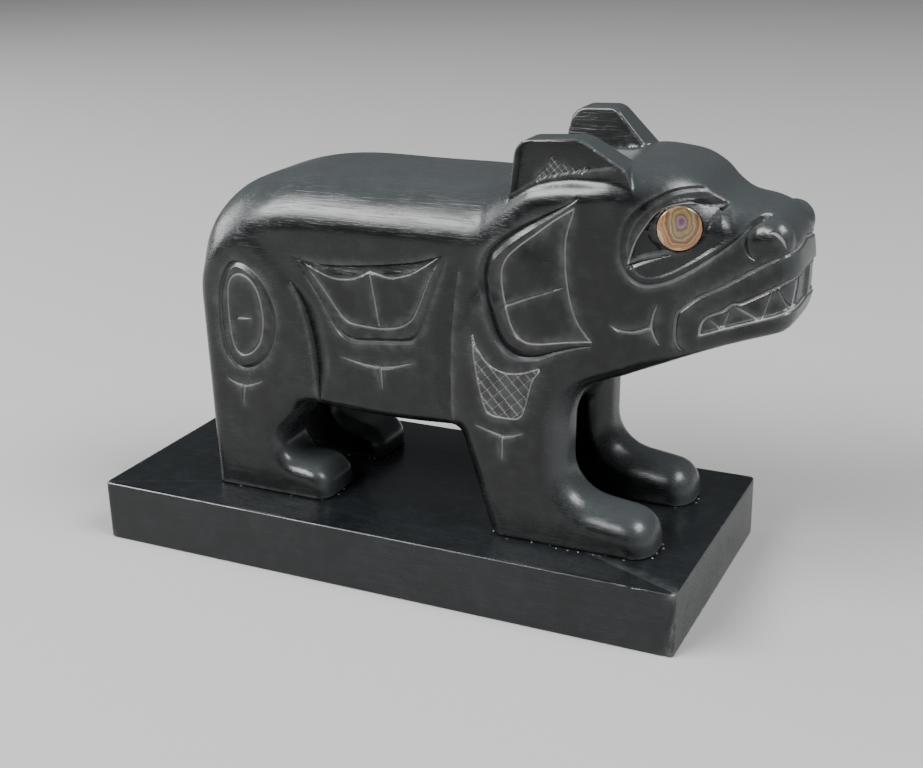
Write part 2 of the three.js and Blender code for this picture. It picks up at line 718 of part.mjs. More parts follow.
function geometryOf(solid) {
  const mesh = solid.getMesh();
  const geometry = new THREE.BufferGeometry();
  geometry.setAttribute('position', new THREE.BufferAttribute(Float32Array.from(mesh.vertProperties), 3));
  geometry.setIndex(Array.from(mesh.triVerts));
  geometry.computeVertexNormals();
  return geometry;
}

function skinGeometry(points, triangles) {
  const geometry = new THREE.BufferGeometry();
  geometry.setAttribute('position', new THREE.Float32BufferAttribute(points.flat(), 3));
  geometry.setIndex(triangles.flat());
  return geometry;
}

const skin = coarseSkin();
relax(skin, 2);
refine(skin);
relax(skin, 1);
thinOut(skin);
const skinBody = new THREE.Mesh(skinGeometry(skin.points, skin.triangles));

// The skin moved inwards by a depth, as a solid.
function sunkSkin(depth) {
  const points = skin.points.map((p) => {
    const place = new THREE.Vector3(...p);
    return place.addScaledVector(outOf(p), -depth).toArray();
  });
  return solidOf(skinGeometry(points, skin.triangles));
}

// The first place where a ray from far outside meets the skin.
function meetSkin(through, outwards) {
  const far = 120;
  const start = through.clone().addScaledVector(outwards, far);
  const caster = new THREE.Raycaster(start, outwards.clone().negate());
  return caster.intersectObject(skinBody)[0]?.point;
}

// The place on one side of the skin that a side view shows at x and height z. In front of the turn, where
// the side of the snout ends, x runs on round its front and reaches the middle at snoutEnd.
const snoutPivot = 84;
const snoutTurn = 90;
const snoutEnd = 96;

function onSide(x, z, side) {
  const sideways = new THREE.Vector3(0, side, 0);
  const place = meetSkin(new THREE.Vector3(Math.min(x, snoutTurn), 0, z), sideways);
  if (!place || x <= snoutTurn) return place;
  const atTurn = Math.atan2(snoutTurn - snoutPivot, Math.abs(place.y));
  const angle = lerp(atTurn, Math.PI / 2, (x - snoutTurn) / (snoutEnd - snoutTurn));
  const outwards = new THREE.Vector3(Math.sin(angle), side * Math.cos(angle), 0);
  return meetSkin(new THREE.Vector3(snoutPivot, 0, z), outwards);
}

// The wedge of stone that a cut takes away on one side of the bear.
function wedge({ line, left, right, depth, fade, closed }, side) {
  const above = 0.6;
  const least = 0.04;
  const places = line.map(([x, z]) => onSide(x, z, side)).filter((p) => p);
  const sections = [];
  places.forEach((p, i) => {
    const last = places[i - 1] ?? (closed ? places.at(-1) : p);
    const next = places[i + 1] ?? (closed ? places[0] : p);
    const out = outOf(p);
    const along = next.clone().sub(last).normalize();
    const leftwards = out.clone().cross(along).normalize().multiplyScalar(-side);
    const share = Math.max(least, fades[fade](i / (places.length - 1)));
    const widen = share + above / depth;
    sections.push([
      p.clone().addScaledVector(out, -depth * share),
      p.clone().addScaledVector(out, above).addScaledVector(leftwards, left * widen),
      p.clone().addScaledVector(out, above).addScaledVector(leftwards, -right * widen),
    ]);
  });
  const triangles = [];
  const count = sections.length;
  for (let i = 0; i < (closed ? count : count - 1); i += 1) {
    for (let k = 0; k < 3; k += 1) {
      const a = 3 * i + k;
      const b = 3 * i + ((k + 1) % 3);
      const c = 3 * ((i + 1) % count) + ((k + 1) % 3);
      const d = 3 * ((i + 1) % count) + k;
      triangles.push([a, b, c], [a, c, d]);
    }
  }
  if (!closed) triangles.push([2, 1, 0], [3 * count - 3, 3 * count - 2, 3 * count - 1]);
  if (side > 0) triangles.forEach((triangle) => triangle.reverse());
  return solidOf(skinGeometry(sections.flat().map((p) => p.toArray()), triangles));
}

// A straight block with the given outline in the side view, from y = from to y = to.
function block(outline, from, to) {
  const shape = new THREE.Shape(outline.map(([x, z]) => new THREE.Vector2(x, z)));
  return new THREE.ExtrudeGeometry(shape, { depth: to - from, bevelEnabled: false })
    .rotateX(Math.PI / 2).translate(0, to, 0);
}

// An upright ear with eased edges and a hollow in its outer face.
function ear(side) {
  const { outline, hollow } = side < 0 ? rightEar : leftEar;
  const shape = new THREE.Shape(outline.map(([x, z]) => new THREE.Vector2(x, z)));
  const plate = new THREE.ExtrudeGeometry(shape, {
    depth: 2 * (earHalf - earEdge),
    bevelThickness: earEdge,
    bevelSize: earEdge,
    bevelOffset: -earEdge,
    bevelSegments: 2,
  }).rotateX(Math.PI / 2).translate(0, side * earMiddle + earHalf - earEdge, 0);
  const face = side * (earMiddle + earHalf);
  const floor = face - side * earHollowDepth;
  const recess = block(hollow, Math.min(floor, face + side), Math.max(floor, face + side));
  return solidOf(plate).subtract(solidOf(recess));
}

// A disc's place in the eye on one side, -1 for the right and 1 for the left: its axis points out of the eye.
function facingOut(geometry, side) {
  const out = new THREE.Vector3(Math.sin(discTurn), side * Math.cos(discTurn), 0);
  const turn = new THREE.Quaternion().setFromUnitVectors(new THREE.Vector3(0, 1, 0), out);
  return geometry.applyQuaternion(turn).translate(discCentre.x, side * discCentre.y, discCentre.z);
}

const discSides = 20;
const domeSteps = 2;

function disc() {
  const rim = discRadius - discEase;
  const profile = [
    [0, discFace - discThickness],
    [discRadius, discFace - discThickness],
    [discRadius, discFace - discEase],
    [rim, discFace],
  ];
  for (let k = 1; k <= domeSteps; k += 1) {
    const t = k / domeSteps;
    profile.push([rim * (1 - t), discFace + discDome * (1 - (1 - t) ** 2)]);
  }
  return new THREE.LatheGeometry(profile.map(([r, h]) => new THREE.Vector2(r, h)), discSides);
}

function seat() {
  const depth = discThickness - discFace + seatGap;
  const reach = 4;
  return new THREE.CylinderGeometry(discRadius + seatGap, discRadius + seatGap, depth + reach, discSides)
    .translate(0, (reach - depth) / 2, 0);
}

const lumpSides = 14;
const lumpRings = 8;

// A rounded lump of the given half sizes, turned to face out of one side of the head.
function lump({ x, y, z, rx, ry, rz }, side, turn) {
  const ball = new THREE.SphereGeometry(1, lumpSides, lumpRings).scale(rx, ry, rz);
  return ball.rotateZ(-side * turn).translate(x, side * y, z);
}

function bear() {
  const reach = { length: 300, width: 80, depth: 40 };
  const clear = 4;
  const outside = reach.width / 2;
  const below = new THREE.BoxGeometry(reach.length, reach.width, reach.depth)
    .translate(0, 0, -reach.depth / 2);
  let solid = solidOf(skinBody.geometry).subtract(solidOf(below));
  const socketFloor = sunkSkin(socketDepth);
  const mouthFloor = sunkSkin(mouthDepth);
  const lidFloor = sunkSkin(socketDepth + lidDepth);
  solid = solid.subtract(solidOf(block(mouth, -outside, outside)).subtract(mouthFloor));
  for (const side of [-1, 1]) {
    const [near, far] = side < 0 ? [-outside, -clear] : [clear, outside];
    const opening = solidOf(block(eyeOpening, near, far));
    solid = solid.subtract(solidOf(block(socket, near, far)).subtract(socketFloor));
    solid = solid.subtract(opening.subtract(lidFloor));
    const eyeballClip = solidOf(block(eyeballRim, near, far));
    solid = solid.add(solidOf(lump(eyeball, side, discTurn)).intersect(eyeballClip));
    solid = solid.add(solidOf(lump(nostril, side, 0)));
    solid = solid.add(ear(side));
    const shown = cuts.filter((one) => side < 0 || !one.fine);
    shown.forEach((one) => {
      solid = solid.subtract(wedge(one, side));
    });
    solid = solid.subtract(solidOf(facingOut(seat(), side)));
  }
  return geometryOf(withoutCrumbs(solid));
}

// The largest of a solid's separate parts, without the crumbs that crossing cuts leave.
function withoutCrumbs(solid) {
  return solid.decompose().reduce((best, part) => (part.volume() > best.volume() ? part : best));
}

function slab() {
  const half = new THREE.Vector2(slabLength / 2 - slabArris, slabWidth / 2 - slabArris);
  const shape = new THREE.Shape();
  const r = slabCorner;
  shape.moveTo(-half.x + r, -half.y);
  shape.lineTo(half.x - r, -half.y);
  shape.absarc(half.x - r, -half.y + r, r, -Math.PI / 2, 0);
  shape.absarc(half.x - r, half.y - r, r, 0, Math.PI / 2);
  shape.absarc(-half.x + r, half.y - r, r, Math.PI / 2, Math.PI);
  shape.absarc(-half.x + r, -half.y + r, r, Math.PI, 1.5 * Math.PI);
  return new THREE.ExtrudeGeometry(shape, {
    depth: slabHeight - 2 * slabArris, bevelThickness: slabArris, bevelSize: slabArris, bevelSegments: 1,
    curveSegments: 2,
  }).translate(0, 0, slabArris);
}

// Materials and the finished object

const stoneFinish = { color: 0x23272a, roughness: 0.42, metalness: 0 };
const shellFinish = { color: 0xb39a76, roughness: 0.25, metalness: 0 };

const group = new THREE.Group();

function add(name, geometry, finish, height = 0) {
  const mesh = new THREE.Mesh(geometry, new THREE.MeshStandardMaterial(finish));
  mesh.name = name;
  mesh.position.z = height;
  group.add(mesh);
}

add('plinth', slab(), stoneFinish);
add('bear', bear(), stoneFinish, soleHeight);
add('eye_inlay_right', facingOut(disc(), -1), shellFinish, soleHeight);
add('eye_inlay_left', facingOut(disc(), 1), shellFinish, soleHeight);

export default group;
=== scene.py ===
# %% [markdown]
# # An argillite bear, dressed in Blender
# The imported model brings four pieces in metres: the slab, the bear and two shell discs. They are the true solids,
# but the bear's has wide flat faces and only its main grooves. This lesson keeps the solids' sizes, lays a fine
# carved skin over the bear, and gives each piece the finish of the real one. Heights on the bear are counted from
# its soles and in millimetres, because a carver would measure it that way.

# %% Load the frame
import json
import math
import bpy
import numpy as np
from mathutils import Matrix, Vector, noise
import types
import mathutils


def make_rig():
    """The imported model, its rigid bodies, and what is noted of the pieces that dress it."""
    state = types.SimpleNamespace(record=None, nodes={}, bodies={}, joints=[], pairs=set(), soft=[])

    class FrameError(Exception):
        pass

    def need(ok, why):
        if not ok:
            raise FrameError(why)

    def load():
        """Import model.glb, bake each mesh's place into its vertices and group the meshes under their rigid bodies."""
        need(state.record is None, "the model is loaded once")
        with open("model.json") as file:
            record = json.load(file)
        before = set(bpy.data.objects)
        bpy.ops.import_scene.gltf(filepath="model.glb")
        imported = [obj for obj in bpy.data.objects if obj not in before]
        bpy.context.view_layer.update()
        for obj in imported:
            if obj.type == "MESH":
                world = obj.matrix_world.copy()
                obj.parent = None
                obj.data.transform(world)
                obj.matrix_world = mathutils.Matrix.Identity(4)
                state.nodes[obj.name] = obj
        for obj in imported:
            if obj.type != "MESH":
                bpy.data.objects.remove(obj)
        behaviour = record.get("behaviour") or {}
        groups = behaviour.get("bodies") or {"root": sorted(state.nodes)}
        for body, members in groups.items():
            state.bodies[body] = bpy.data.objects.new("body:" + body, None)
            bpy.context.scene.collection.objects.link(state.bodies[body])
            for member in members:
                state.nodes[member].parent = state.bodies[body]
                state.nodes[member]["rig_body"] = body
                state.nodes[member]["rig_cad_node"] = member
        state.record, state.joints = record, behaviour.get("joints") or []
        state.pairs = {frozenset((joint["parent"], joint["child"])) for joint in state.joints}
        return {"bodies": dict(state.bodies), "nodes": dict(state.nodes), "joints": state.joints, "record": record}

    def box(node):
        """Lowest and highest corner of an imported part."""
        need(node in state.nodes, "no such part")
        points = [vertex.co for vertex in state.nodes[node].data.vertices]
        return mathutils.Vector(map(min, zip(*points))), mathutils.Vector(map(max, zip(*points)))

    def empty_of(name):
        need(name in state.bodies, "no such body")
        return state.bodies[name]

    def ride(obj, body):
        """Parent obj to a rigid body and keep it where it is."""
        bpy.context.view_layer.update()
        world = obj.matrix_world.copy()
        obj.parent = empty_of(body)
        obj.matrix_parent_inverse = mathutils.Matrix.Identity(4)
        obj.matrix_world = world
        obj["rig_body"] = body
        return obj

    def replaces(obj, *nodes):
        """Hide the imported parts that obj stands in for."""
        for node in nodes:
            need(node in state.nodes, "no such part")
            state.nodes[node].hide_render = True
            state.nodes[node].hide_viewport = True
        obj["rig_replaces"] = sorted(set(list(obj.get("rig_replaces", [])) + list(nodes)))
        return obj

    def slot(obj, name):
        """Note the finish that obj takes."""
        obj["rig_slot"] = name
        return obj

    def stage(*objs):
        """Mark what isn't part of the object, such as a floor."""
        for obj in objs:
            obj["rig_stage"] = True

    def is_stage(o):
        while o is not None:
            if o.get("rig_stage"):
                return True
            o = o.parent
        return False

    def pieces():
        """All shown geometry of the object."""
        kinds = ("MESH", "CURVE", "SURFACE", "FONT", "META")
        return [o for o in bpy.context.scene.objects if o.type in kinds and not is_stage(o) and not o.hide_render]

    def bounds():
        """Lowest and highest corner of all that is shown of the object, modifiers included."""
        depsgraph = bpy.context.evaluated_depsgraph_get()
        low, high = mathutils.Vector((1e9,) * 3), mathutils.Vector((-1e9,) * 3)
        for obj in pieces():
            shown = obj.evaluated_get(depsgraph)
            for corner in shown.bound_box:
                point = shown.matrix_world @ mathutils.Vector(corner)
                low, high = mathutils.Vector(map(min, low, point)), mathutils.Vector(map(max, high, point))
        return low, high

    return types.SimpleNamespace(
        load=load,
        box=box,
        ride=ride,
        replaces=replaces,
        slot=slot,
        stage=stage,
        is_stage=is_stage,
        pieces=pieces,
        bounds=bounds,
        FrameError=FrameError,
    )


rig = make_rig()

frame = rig.load()
size_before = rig.bounds()
MM = 0.001
SLAB_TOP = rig.box("plinth")[1].z / MM
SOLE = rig.box("bear")[0].z / MM
print("slab top", round(SLAB_TOP, 2), "mm, soles", round(SOLE, 2), "mm")

# %% [markdown]
# ## The camera
# A photograph's viewpoint can be worked out from a box in it whose edges are square to each other. The slab is such
# a box, so its three vanishing directions give the angle, the distance and the lens. The camera stands to the
# bear's front right and a little above it.

# %% Camera
CAMERA_PLACE = (0.14886, -0.28706, 0.16002)
CAMERA_AZIMUTH = 25.8045
CAMERA_ELEVATION = 20.2598
CAMERA_ROLL = -1.2405
LENS = 54.63

camera = bpy.data.objects.new("camera", bpy.data.cameras.new("camera"))
bpy.context.scene.collection.objects.link(camera)
camera.data.lens = LENS
camera.data.sensor_width = 36
camera.data.clip_start = 0.01
turn = Matrix.Rotation(math.radians(CAMERA_AZIMUTH), 4, "Z")
tip = Matrix.Rotation(math.radians(90 - CAMERA_ELEVATION), 4, "X")
roll = Matrix.Rotation(math.radians(CAMERA_ROLL), 4, "Z")
camera.matrix_world = Matrix.Translation(CAMERA_PLACE) @ turn @ tip @ roll
bpy.context.scene.camera = camera
print("camera at", CAMERA_PLACE)

# %% [markdown]
# ## Helpers for outlines
# A carver draws the side view on the block first. Here each outline is a short list of points joined by a soft
# curve, or straight sides with rounded corners. The distance to an outline is needed a million times, so it is
# worked out once on a fine grid and then looked up.


# %% Outlines
def soft_curve(stops, closed=False, steps=6):
    """Close points on a soft curve through the stops."""
    stops = np.asarray(stops, float)
    count = len(stops)
    spans = count if closed else count - 1
    share = np.arange(steps)[:, None] / steps
    parts = []
    for i in range(spans):
        b, c = stops[i], stops[(i + 1) % count]
        a = stops[i - 1] if closed or i > 0 else 2 * b - c
        d = stops[(i + 2) % count] if closed or i + 2 < count else 2 * c - b
        cubic = 3 * b - a - 3 * c + d
        parts.append(0.5 * (2 * b + (c - a) * share + (2 * a - 5 * b + 4 * c - d) * share**2 + cubic * share**3))
    if not closed:
        parts.append(stops[-1:])
    return np.concatenate(parts)


def rounded_outline(corners, step=math.pi / 16):
    """A closed outline of straight sides. Each corner is x, height, radius."""
    outline = []
    for i, (x, z, radius) in enumerate(corners):
        corner = np.array([x, z])
        before = np.array(corners[i - 1][:2]) - corner
        after = np.array(corners[(i + 1) % len(corners)][:2]) - corner
        before, after = before / np.hypot(*before), after / np.hypot(*after)
        if radius == 0:
            outline.append(corner)
            continue
        half = math.acos(float(before @ after)) / 2
        middle = corner + (before + after) / np.hypot(*(before + after)) * radius / math.sin(half)
        first = corner + before * radius / math.tan(half) - middle
        sweep = -math.copysign(math.pi - 2 * half, before[0] * after[1] - before[1] * after[0])
        count = max(1, math.ceil(abs(sweep) / step))
        for k in range(count + 1):
            c, s = math.cos(sweep * k / count), math.sin(sweep * k / count)
            outline.append(middle + np.array([c * first[0] - s * first[1], s * first[0] + c * first[1]]))
    return np.array(outline)


def both_halves(half_widths):
    """A plan drawn as half widths along x, mirrored."""
    return list(half_widths) + [(x, -w) for x, w in reversed(half_widths[1:-1])]


def outline_distance(outline, x, z):
    """The distance to an outline's edge, below 0 inside it."""
    best = np.full(x.shape, np.inf)
    inside = np.zeros(x.shape, bool)
    for (ax, az), (bx, bz) in zip(outline, np.roll(outline, -1, 0)):
        ex, ez = bx - ax, bz - az
        reach = ex * ex + ez * ez
        if reach == 0:
            continue
        t = np.clip(((x - ax) * ex + (z - az) * ez) / reach, 0, 1)
        np.minimum(best, (x - ax - ex * t) ** 2 + (z - az - ez * t) ** 2, out=best)
        if az != bz:
            inside ^= ((az > z) != (bz > z)) & (x < ex * (z - az) / ez + ax)
    best = np.sqrt(best)
    return np.where(inside, -best, best)


class OutlineMap:
    """The distance to an outline, looked up on a grid."""

    def __init__(self, outline, step=0.4, margin=14):
        outline = np.asarray(outline, float)
        self.low = outline.min(0) - margin
        self.step = step
        counts = np.ceil((outline.max(0) + margin - self.low) / step).astype(int) + 1
        x, z = np.meshgrid(*[self.low[a] + step * np.arange(counts[a]) for a in (0, 1)], indexing="ij")
        self.grid = outline_distance(outline, x, z)

    def __call__(self, x, z):
        u = np.clip((x - self.low[0]) / self.step, 0, self.grid.shape[0] - 1.001)
        v = np.clip((z - self.low[1]) / self.step, 0, self.grid.shape[1] - 1.001)
        i, j = u.astype(int), v.astype(int)
        u, v = u - i, v - j
        g = self.grid
        return (g[i, j] * (1 - u) + g[i + 1, j] * u) * (1 - v) + (g[i, j + 1] * (1 - u) + g[i + 1, j + 1] * u) * v


def ease(x, low, high):
    t = np.clip((x - low) / (high - low), 0, 1)
    return t * t * (3 - 2 * t)


def round_meet(a, b, radius):
    """What two masses both hold, with a round edge."""
    return np.hypot(np.maximum(a + radius, 0), np.maximum(b + radius, 0)) - radius + np.minimum(np.maximum(a, b) + radius, 0)


def soft_join(a, b, width):
    """Two masses joined with a soft hollow between them."""
    share = np.maximum(width - np.abs(a - b), 0) / width
    return np.minimum(a, b) - share * share * width / 4


# %% [markdown]
# ## The bear's masses
# Seen from the side the bear is a trunk, a head, four legs and two ears. Each mass is what its side outline and its
# width both hold, with a round edge where the two meet, and the masses are joined softly. `stone` then says for any
# point how far it lies outside the bear, below 0 inside it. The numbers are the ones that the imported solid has.

# %% Masses
trunk_side = OutlineMap(soft_curve([
    (-22, 25), (-40, 24), (-49, 28), (-54.3, 40), (-56, 50), (-55.7, 60), (-50.7, 68.6), (-41, 74.7), (-30, 78.5),
    (-17, 80.2), (2, 80.2), (22, 80.2), (36, 79), (46, 68), (48.5, 52), (45, 37), (41.5, 28.6), (35, 25.8),
    (18, 24.6), (0, 24)], True))
trunk_plan = OutlineMap(soft_curve(both_halves([
    (-56.4, 0), (-55.6, 8), (-53, 14), (-47.5, 18.8), (-38, 21.3), (-22, 22), (0, 21.6), (20, 21.2), (38, 21), (48, 19.5),
    (52, 14), (53, 0)]), True))
head_side = OutlineMap(soft_curve([
    (24, 50), (23, 66), (24.5, 74), (30, 79.6), (36, 83.2), (43, 85), (51, 85.9), (58, 87), (65, 86.6), (70.5, 84.2),
    (74.5, 80.8), (78, 79), (83, 78.2), (87.4, 76.4), (91.1, 72.6), (93, 67.5), (93.2, 61.5), (92.3, 56.2),
    (89.6, 52.6), (82.5, 50.1), (72, 46.6), (62, 43), (53, 39.5), (43, 36.5), (32, 40)], True))
head_plan = OutlineMap(soft_curve(both_halves([
    (23, 0), (24, 14), (27, 19.5), (34, 21.5), (46, 21.8), (57, 20.6), (65, 18.6), (72, 16), (79, 13.6), (86, 12.4),
    (90.6, 11), (93, 7.2), (93.5, 0)]), True))
fore_leg_side = OutlineMap(rounded_outline([
    (16.7, 48, 0), (17.5, 27.4, 6), (27, -4, 0), (65.5, -4, 0), (65.5, 8.5, 6.6), (44.3, 11.4, 9), (44.7, 30, 14),
    (48.5, 46, 4), (40, 60, 8), (24, 60, 8)]))
hind_leg_side = OutlineMap(rounded_outline([
    (-50.2, 64, 16), (-49.1, -4, 0), (-16.5, -4, 0), (-16.5, 7.5, 5.6), (-34.6, 9.2, 5), (-16.6, 29.5, 4),
    (-18.5, 50, 14), (-32, 66, 12)]))
ear_sides = {
    -1: OutlineMap(rounded_outline([
        (30.6, 74, 0), (33.2, 91.2, 4), (47.6, 92.1, 5.2), (57.3, 86.2, 0.8), (59.4, 81, 1), (56, 74, 0)]), step=0.2),
    1: OutlineMap(rounded_outline([
        (30.8, 74, 0), (33.6, 93.1, 4), (43.8, 93.4, 3.5), (54.2, 83, 1), (51.5, 74, 0)]), step=0.2)}

BACK_EDGE, BELLY_EDGE, HEAD_EDGE, JAW_EDGE = 15, 3.2, 6, 5
FORE_LEG = {"middle": 15, "half": 7.5, "edge": 6}
HIND_LEG = {"middle": 14, "half": 7.8, "edge": 3.8}
EAR = {"outer": 19.6, "inner": 12.4, "lean": 0.25, "top": 91, "edge": 0.5}
CROWN = {"end": 52.3, "half": 12, "dip": 0.7}
NOSTRIL = {"place": (85.9, 9.6, 72.1), "half": (4.4, 3.6, 4.5)}


def limb(side_distance, y, sizes):
    return round_meet(side_distance, np.abs(y - sizes["middle"]) - sizes["half"], sizes["edge"])


def ear_edge(p, x, z):
    """The distance to the outline of the ear on the same side as the points p."""
    return np.where(p[:, 1] < 0, ear_sides[-1](x, z), ear_sides[1](x, z))


def head_mass(x, y, z):
    roundness = 0.003 + 0.009 * ease(x, 52, 64)
    crown = roundness * np.maximum(y - 4, 0) ** 2 * ease(z, 62, 80)
    dip = CROWN["dip"] * ease(x, CROWN["end"] + 0.4, CROWN["end"] - 0.4) * ease(z, 76, 80)
    head_edge = JAW_EDGE + (HEAD_EDGE - JAW_EDGE) * ease(z, 55, 75)
    return round_meet(head_side(x, z) + crown + dip * (y < CROWN["half"]), head_plan(x, y), head_edge)


def stone(p):
    """How far the points p lie outside the bear, below 0 inside it."""
    x, y, z = p[:, 0], np.abs(p[:, 1]), p[:, 2]
    trunk_edge = BELLY_EDGE + (BACK_EDGE - BELLY_EDGE) * ease(z, 40, 76)
    whole = round_meet(trunk_side(x, z), trunk_plan(x, y), trunk_edge)
    whole = soft_join(whole, head_mass(x, y, z), 6)
    whole = soft_join(whole, limb(fore_leg_side(x, z), y, FORE_LEG), 2.5)
    whole = soft_join(whole, limb(hind_leg_side(x, z), y, HIND_LEG), 2.5)
    inner_face = EAR["inner"] - EAR["lean"] * (EAR["top"] - z)
    ear = round_meet(ear_edge(p, x, z), np.maximum(y - EAR["outer"], inner_face - y), EAR["edge"])
    whole = soft_join(whole, ear, 0.5)
    place, half = NOSTRIL["place"], NOSTRIL["half"]
    knob = np.sqrt(sum(((a - c) / r) ** 2 for a, c, r in zip((x, y, z), place, half))) - 1
    whole = soft_join(whole, knob * min(half), 0.5)
    return round_meet(whole, -z, 0.5)


def slope(p):
    """The direction out of the stone at the points p."""
    step = 0.05
    columns = []
    for axis in range(3):
        offset = np.zeros(3)
        offset[axis] = step
        columns.append((stone(p + offset) - stone(p - offset)) / (2 * step))
    return np.stack(columns, 1)


def settle(p, rounds=3):
    """Moves points onto the surface."""
    for _ in range(rounds):
        value, away = stone(p), slope(p)
        p = p - (value / np.maximum(0.2, (away**2).sum(1)))[:, None] * away
    return p


print("masses ready")

# %% [markdown]
# ## The skin
# Space is divided into small cubes. Every cube that the surface passes through gets one point, and four cubes round
# an edge that crosses the surface share a square. This gives an even skin in one go, and each point is then moved
# exactly onto the surface.

# %% Skin
CUBE = 1.54


def lay_skin(low, high):
    counts = [int(math.ceil((high[a] - low[a]) / CUBE)) + 1 for a in range(3)]
    axes = [low[a] + CUBE * np.arange(counts[a]) for a in range(3)]
    corners = np.stack(np.meshgrid(*axes, indexing="ij"), -1)
    value = stone(corners.reshape(-1, 3)).reshape(counts)
    total = np.zeros([c - 1 for c in counts] + [3])
    crossings = np.zeros([c - 1 for c in counts])
    for axis in range(3):
        others = [a for a in range(3) if a != axis]
        first = value[tuple(slice(0, -1) if a == axis else slice(None) for a in range(3))]
        last = value[tuple(slice(1, None) if a == axis else slice(None) for a in range(3))]
        crosses = (first < 0) != (last < 0)
        share = np.where(crosses, first / np.where(crosses, first - last, 1), 0)
        spot = corners[tuple(slice(0, -1) if a == axis else slice(None) for a in range(3))].copy()
        spot[..., axis] += share * CUBE
        spot *= crosses[..., None]
        for du in (0, 1):
            for dv in (0, 1):
                take = [slice(None)] * 3
                take[others[0]] = slice(du, counts[others[0]] - 1 + du)
                take[others[1]] = slice(dv, counts[others[1]] - 1 + dv)
                total += spot[tuple(take)]
                crossings += crosses[tuple(take)]
    used = crossings > 0
    number = np.full(used.shape, -1)
    number[used] = np.arange(used.sum())
    points = total[used] / crossings[used][:, None]
    squares = []
    for axis in range(3):
        u, v = [(1, 2), (2, 0), (0, 1)][axis]
        inner = [slice(1, -1)] * 3
        ahead = [slice(1, -1)] * 3
        ahead[axis] = slice(2, None)
        here, there = value[tuple(inner)] < 0, value[tuple(ahead)] < 0
        place = np.argwhere(here != there) + 1
        flip = ~here[tuple((place - 1).T)]
        ring = []
        for du, dv in ((0, 0), (1, 0), (1, 1), (0, 1)):
            cube = place.copy()
            cube[:, u] -= du
            cube[:, v] -= dv
            ring.append(number[tuple(cube.T)])
        ring = np.stack(ring, 1)
        ring[flip] = ring[flip][:, ::-1]
        squares.append(ring)
    squares = np.concatenate(squares)
    short = np.linalg.norm(points[squares[:, 0]] - points[squares[:, 2]], axis=1)
    other = np.linalg.norm(points[squares[:, 1]] - points[squares[:, 3]], axis=1)
    a, b, c, d = squares.T
    first = short <= other
    triangles = np.concatenate([
        np.stack([a, b, c], 1)[first], np.stack([a, c, d], 1)[first],
        np.stack([a, b, d], 1)[~first], np.stack([b, c, d], 1)[~first]])
    return settle(points), triangles


points, triangles = lay_skin((-60.4, -17.5 * CUBE, -3.1), (98.0, 17.5 * CUBE, 97.6))
print("skin", len(points), "points", len(triangles), "triangles")

# %% [markdown]
# ## The cut lines
# The ornament is drawn on the side of the bear and cut with a V tool: one wall of a cut is often wider than the
# other. Each line below has its width to the left and to the right as it runs, and its depth. `fade` says which ends
# narrow to nothing. The same lines are cut on both sides. A narrow cut stays light grey from the tool, a broad one
# was polished, and `dust` tells them apart.

# %% Cut lines
CUTS = []


def cut(stops, left, right, depth, fade="none", closed=False, dust=None):
    if dust is None:
        dust = min(1, max(0.1, 1.3 - 0.9 * max(left, right)))
    CUTS.append({"line": soft_curve(stops, closed), "left": left, "right": right, "depth": depth, "fade": fade,
                 "closed": closed, "dust": dust})


def mark(meeting, tips, width, depth):
    """Arms and a stem that meet in one place, thick there and thin at the tips."""
    for tip in tips:
        cut([meeting, *tip], width / 2, width / 2, depth, "end")


# where the flank dips behind the thigh and the fore leg
cut([(-23.2, 56), (-20.2, 50.5), (-18.4, 44.5), (-17.5, 38), (-17.1, 32), (-17, 25.5)], 4, 0.5, 1, "both")
cut([(20.3, 62.5), (18.7, 56), (17.8, 47), (17.3, 38), (17.3, 30), (18, 24.5)], 0.5, 3, 0.7, "both")

# flank: a wide U under a two-lobed top, and a mark below it
cut([(-21.8, 61.3), (-16.5, 60.2), (-11.5, 60), (-2, 60.8), (7.6, 62.2), (11.8, 63.3), (16.6, 65)], 0.3, 2, 0.55, "both")
cut([(-19.3, 60.2), (-16.6, 58.9), (-12.4, 57.4), (-9, 57.2), (-5.5, 57.9), (-2, 59.6)], 0.3, 0.5, 0.4, "start")
cut([(-2, 59.6), (2.6, 58.7), (6, 59.3), (9.3, 60.5), (13.6, 63.2), (15.8, 64.6)], 0.3, 0.5, 0.4, "end")
cut([(-20.8, 60.6), (-14.8, 51.4), (-11, 45.2), (-8.6, 43.1), (-6, 42.6), (-1, 43), (6.6, 43.8), (9, 45), (10.5, 47.5),
     (13, 54), (16, 61.6), (17.3, 64.8)], 1, 0.6, 0.65, "both")
cut([(-18.6, 59.6), (-15.1, 55.7), (-10.7, 49.6), (-8.9, 47.6), (-7, 46.8), (-1, 46.4), (2.8, 46.8), (5.4, 47.5),
     (7.8, 49), (9.6, 51.7), (12.7, 58.8), (15.8, 64)], 0.3, 0.5, 0.45, "both")
cut([(-2, 59.3), (-0.1, 47)], 0.3, 0.3, 0.3)
mark((-0.4, 36.8), [[(-5, 37.1), (-11.6, 38.6)], [(3.4, 37.5), (9.3, 39.4)], [(0.1, 30.8)]], 1.4, 0.65)

# rump: an egg-shaped ring with a wedge in it, and a mark below it
cut([(-38.3, 58.3), (-31, 54.7), (-27.4, 46.5), (-29, 38), (-34.5, 32.7), (-40, 32.4), (-43.2, 38.5), (-42.9, 51)],
    0.5, 1, 0.55, closed=True)
cut([(-37.6, 55.6), (-33, 53.4), (-31.1, 46.5), (-32.1, 39.8), (-35.4, 36.1), (-38.9, 35.8), (-40.7, 40.5),
     (-40.6, 51.8)], 0.4, 0.4, 0.4, closed=True)
cut([(-38.1, 44.7), (-34, 44.9)], 0.5, 0.5, 0.45, "end")
mark((-38, 27.3), [[(-40.7, 27.7), (-43.3, 29)], [(-34.7, 28.3), (-31.4, 29.9)], [(-39, 21.6)]], 1.2, 0.6)

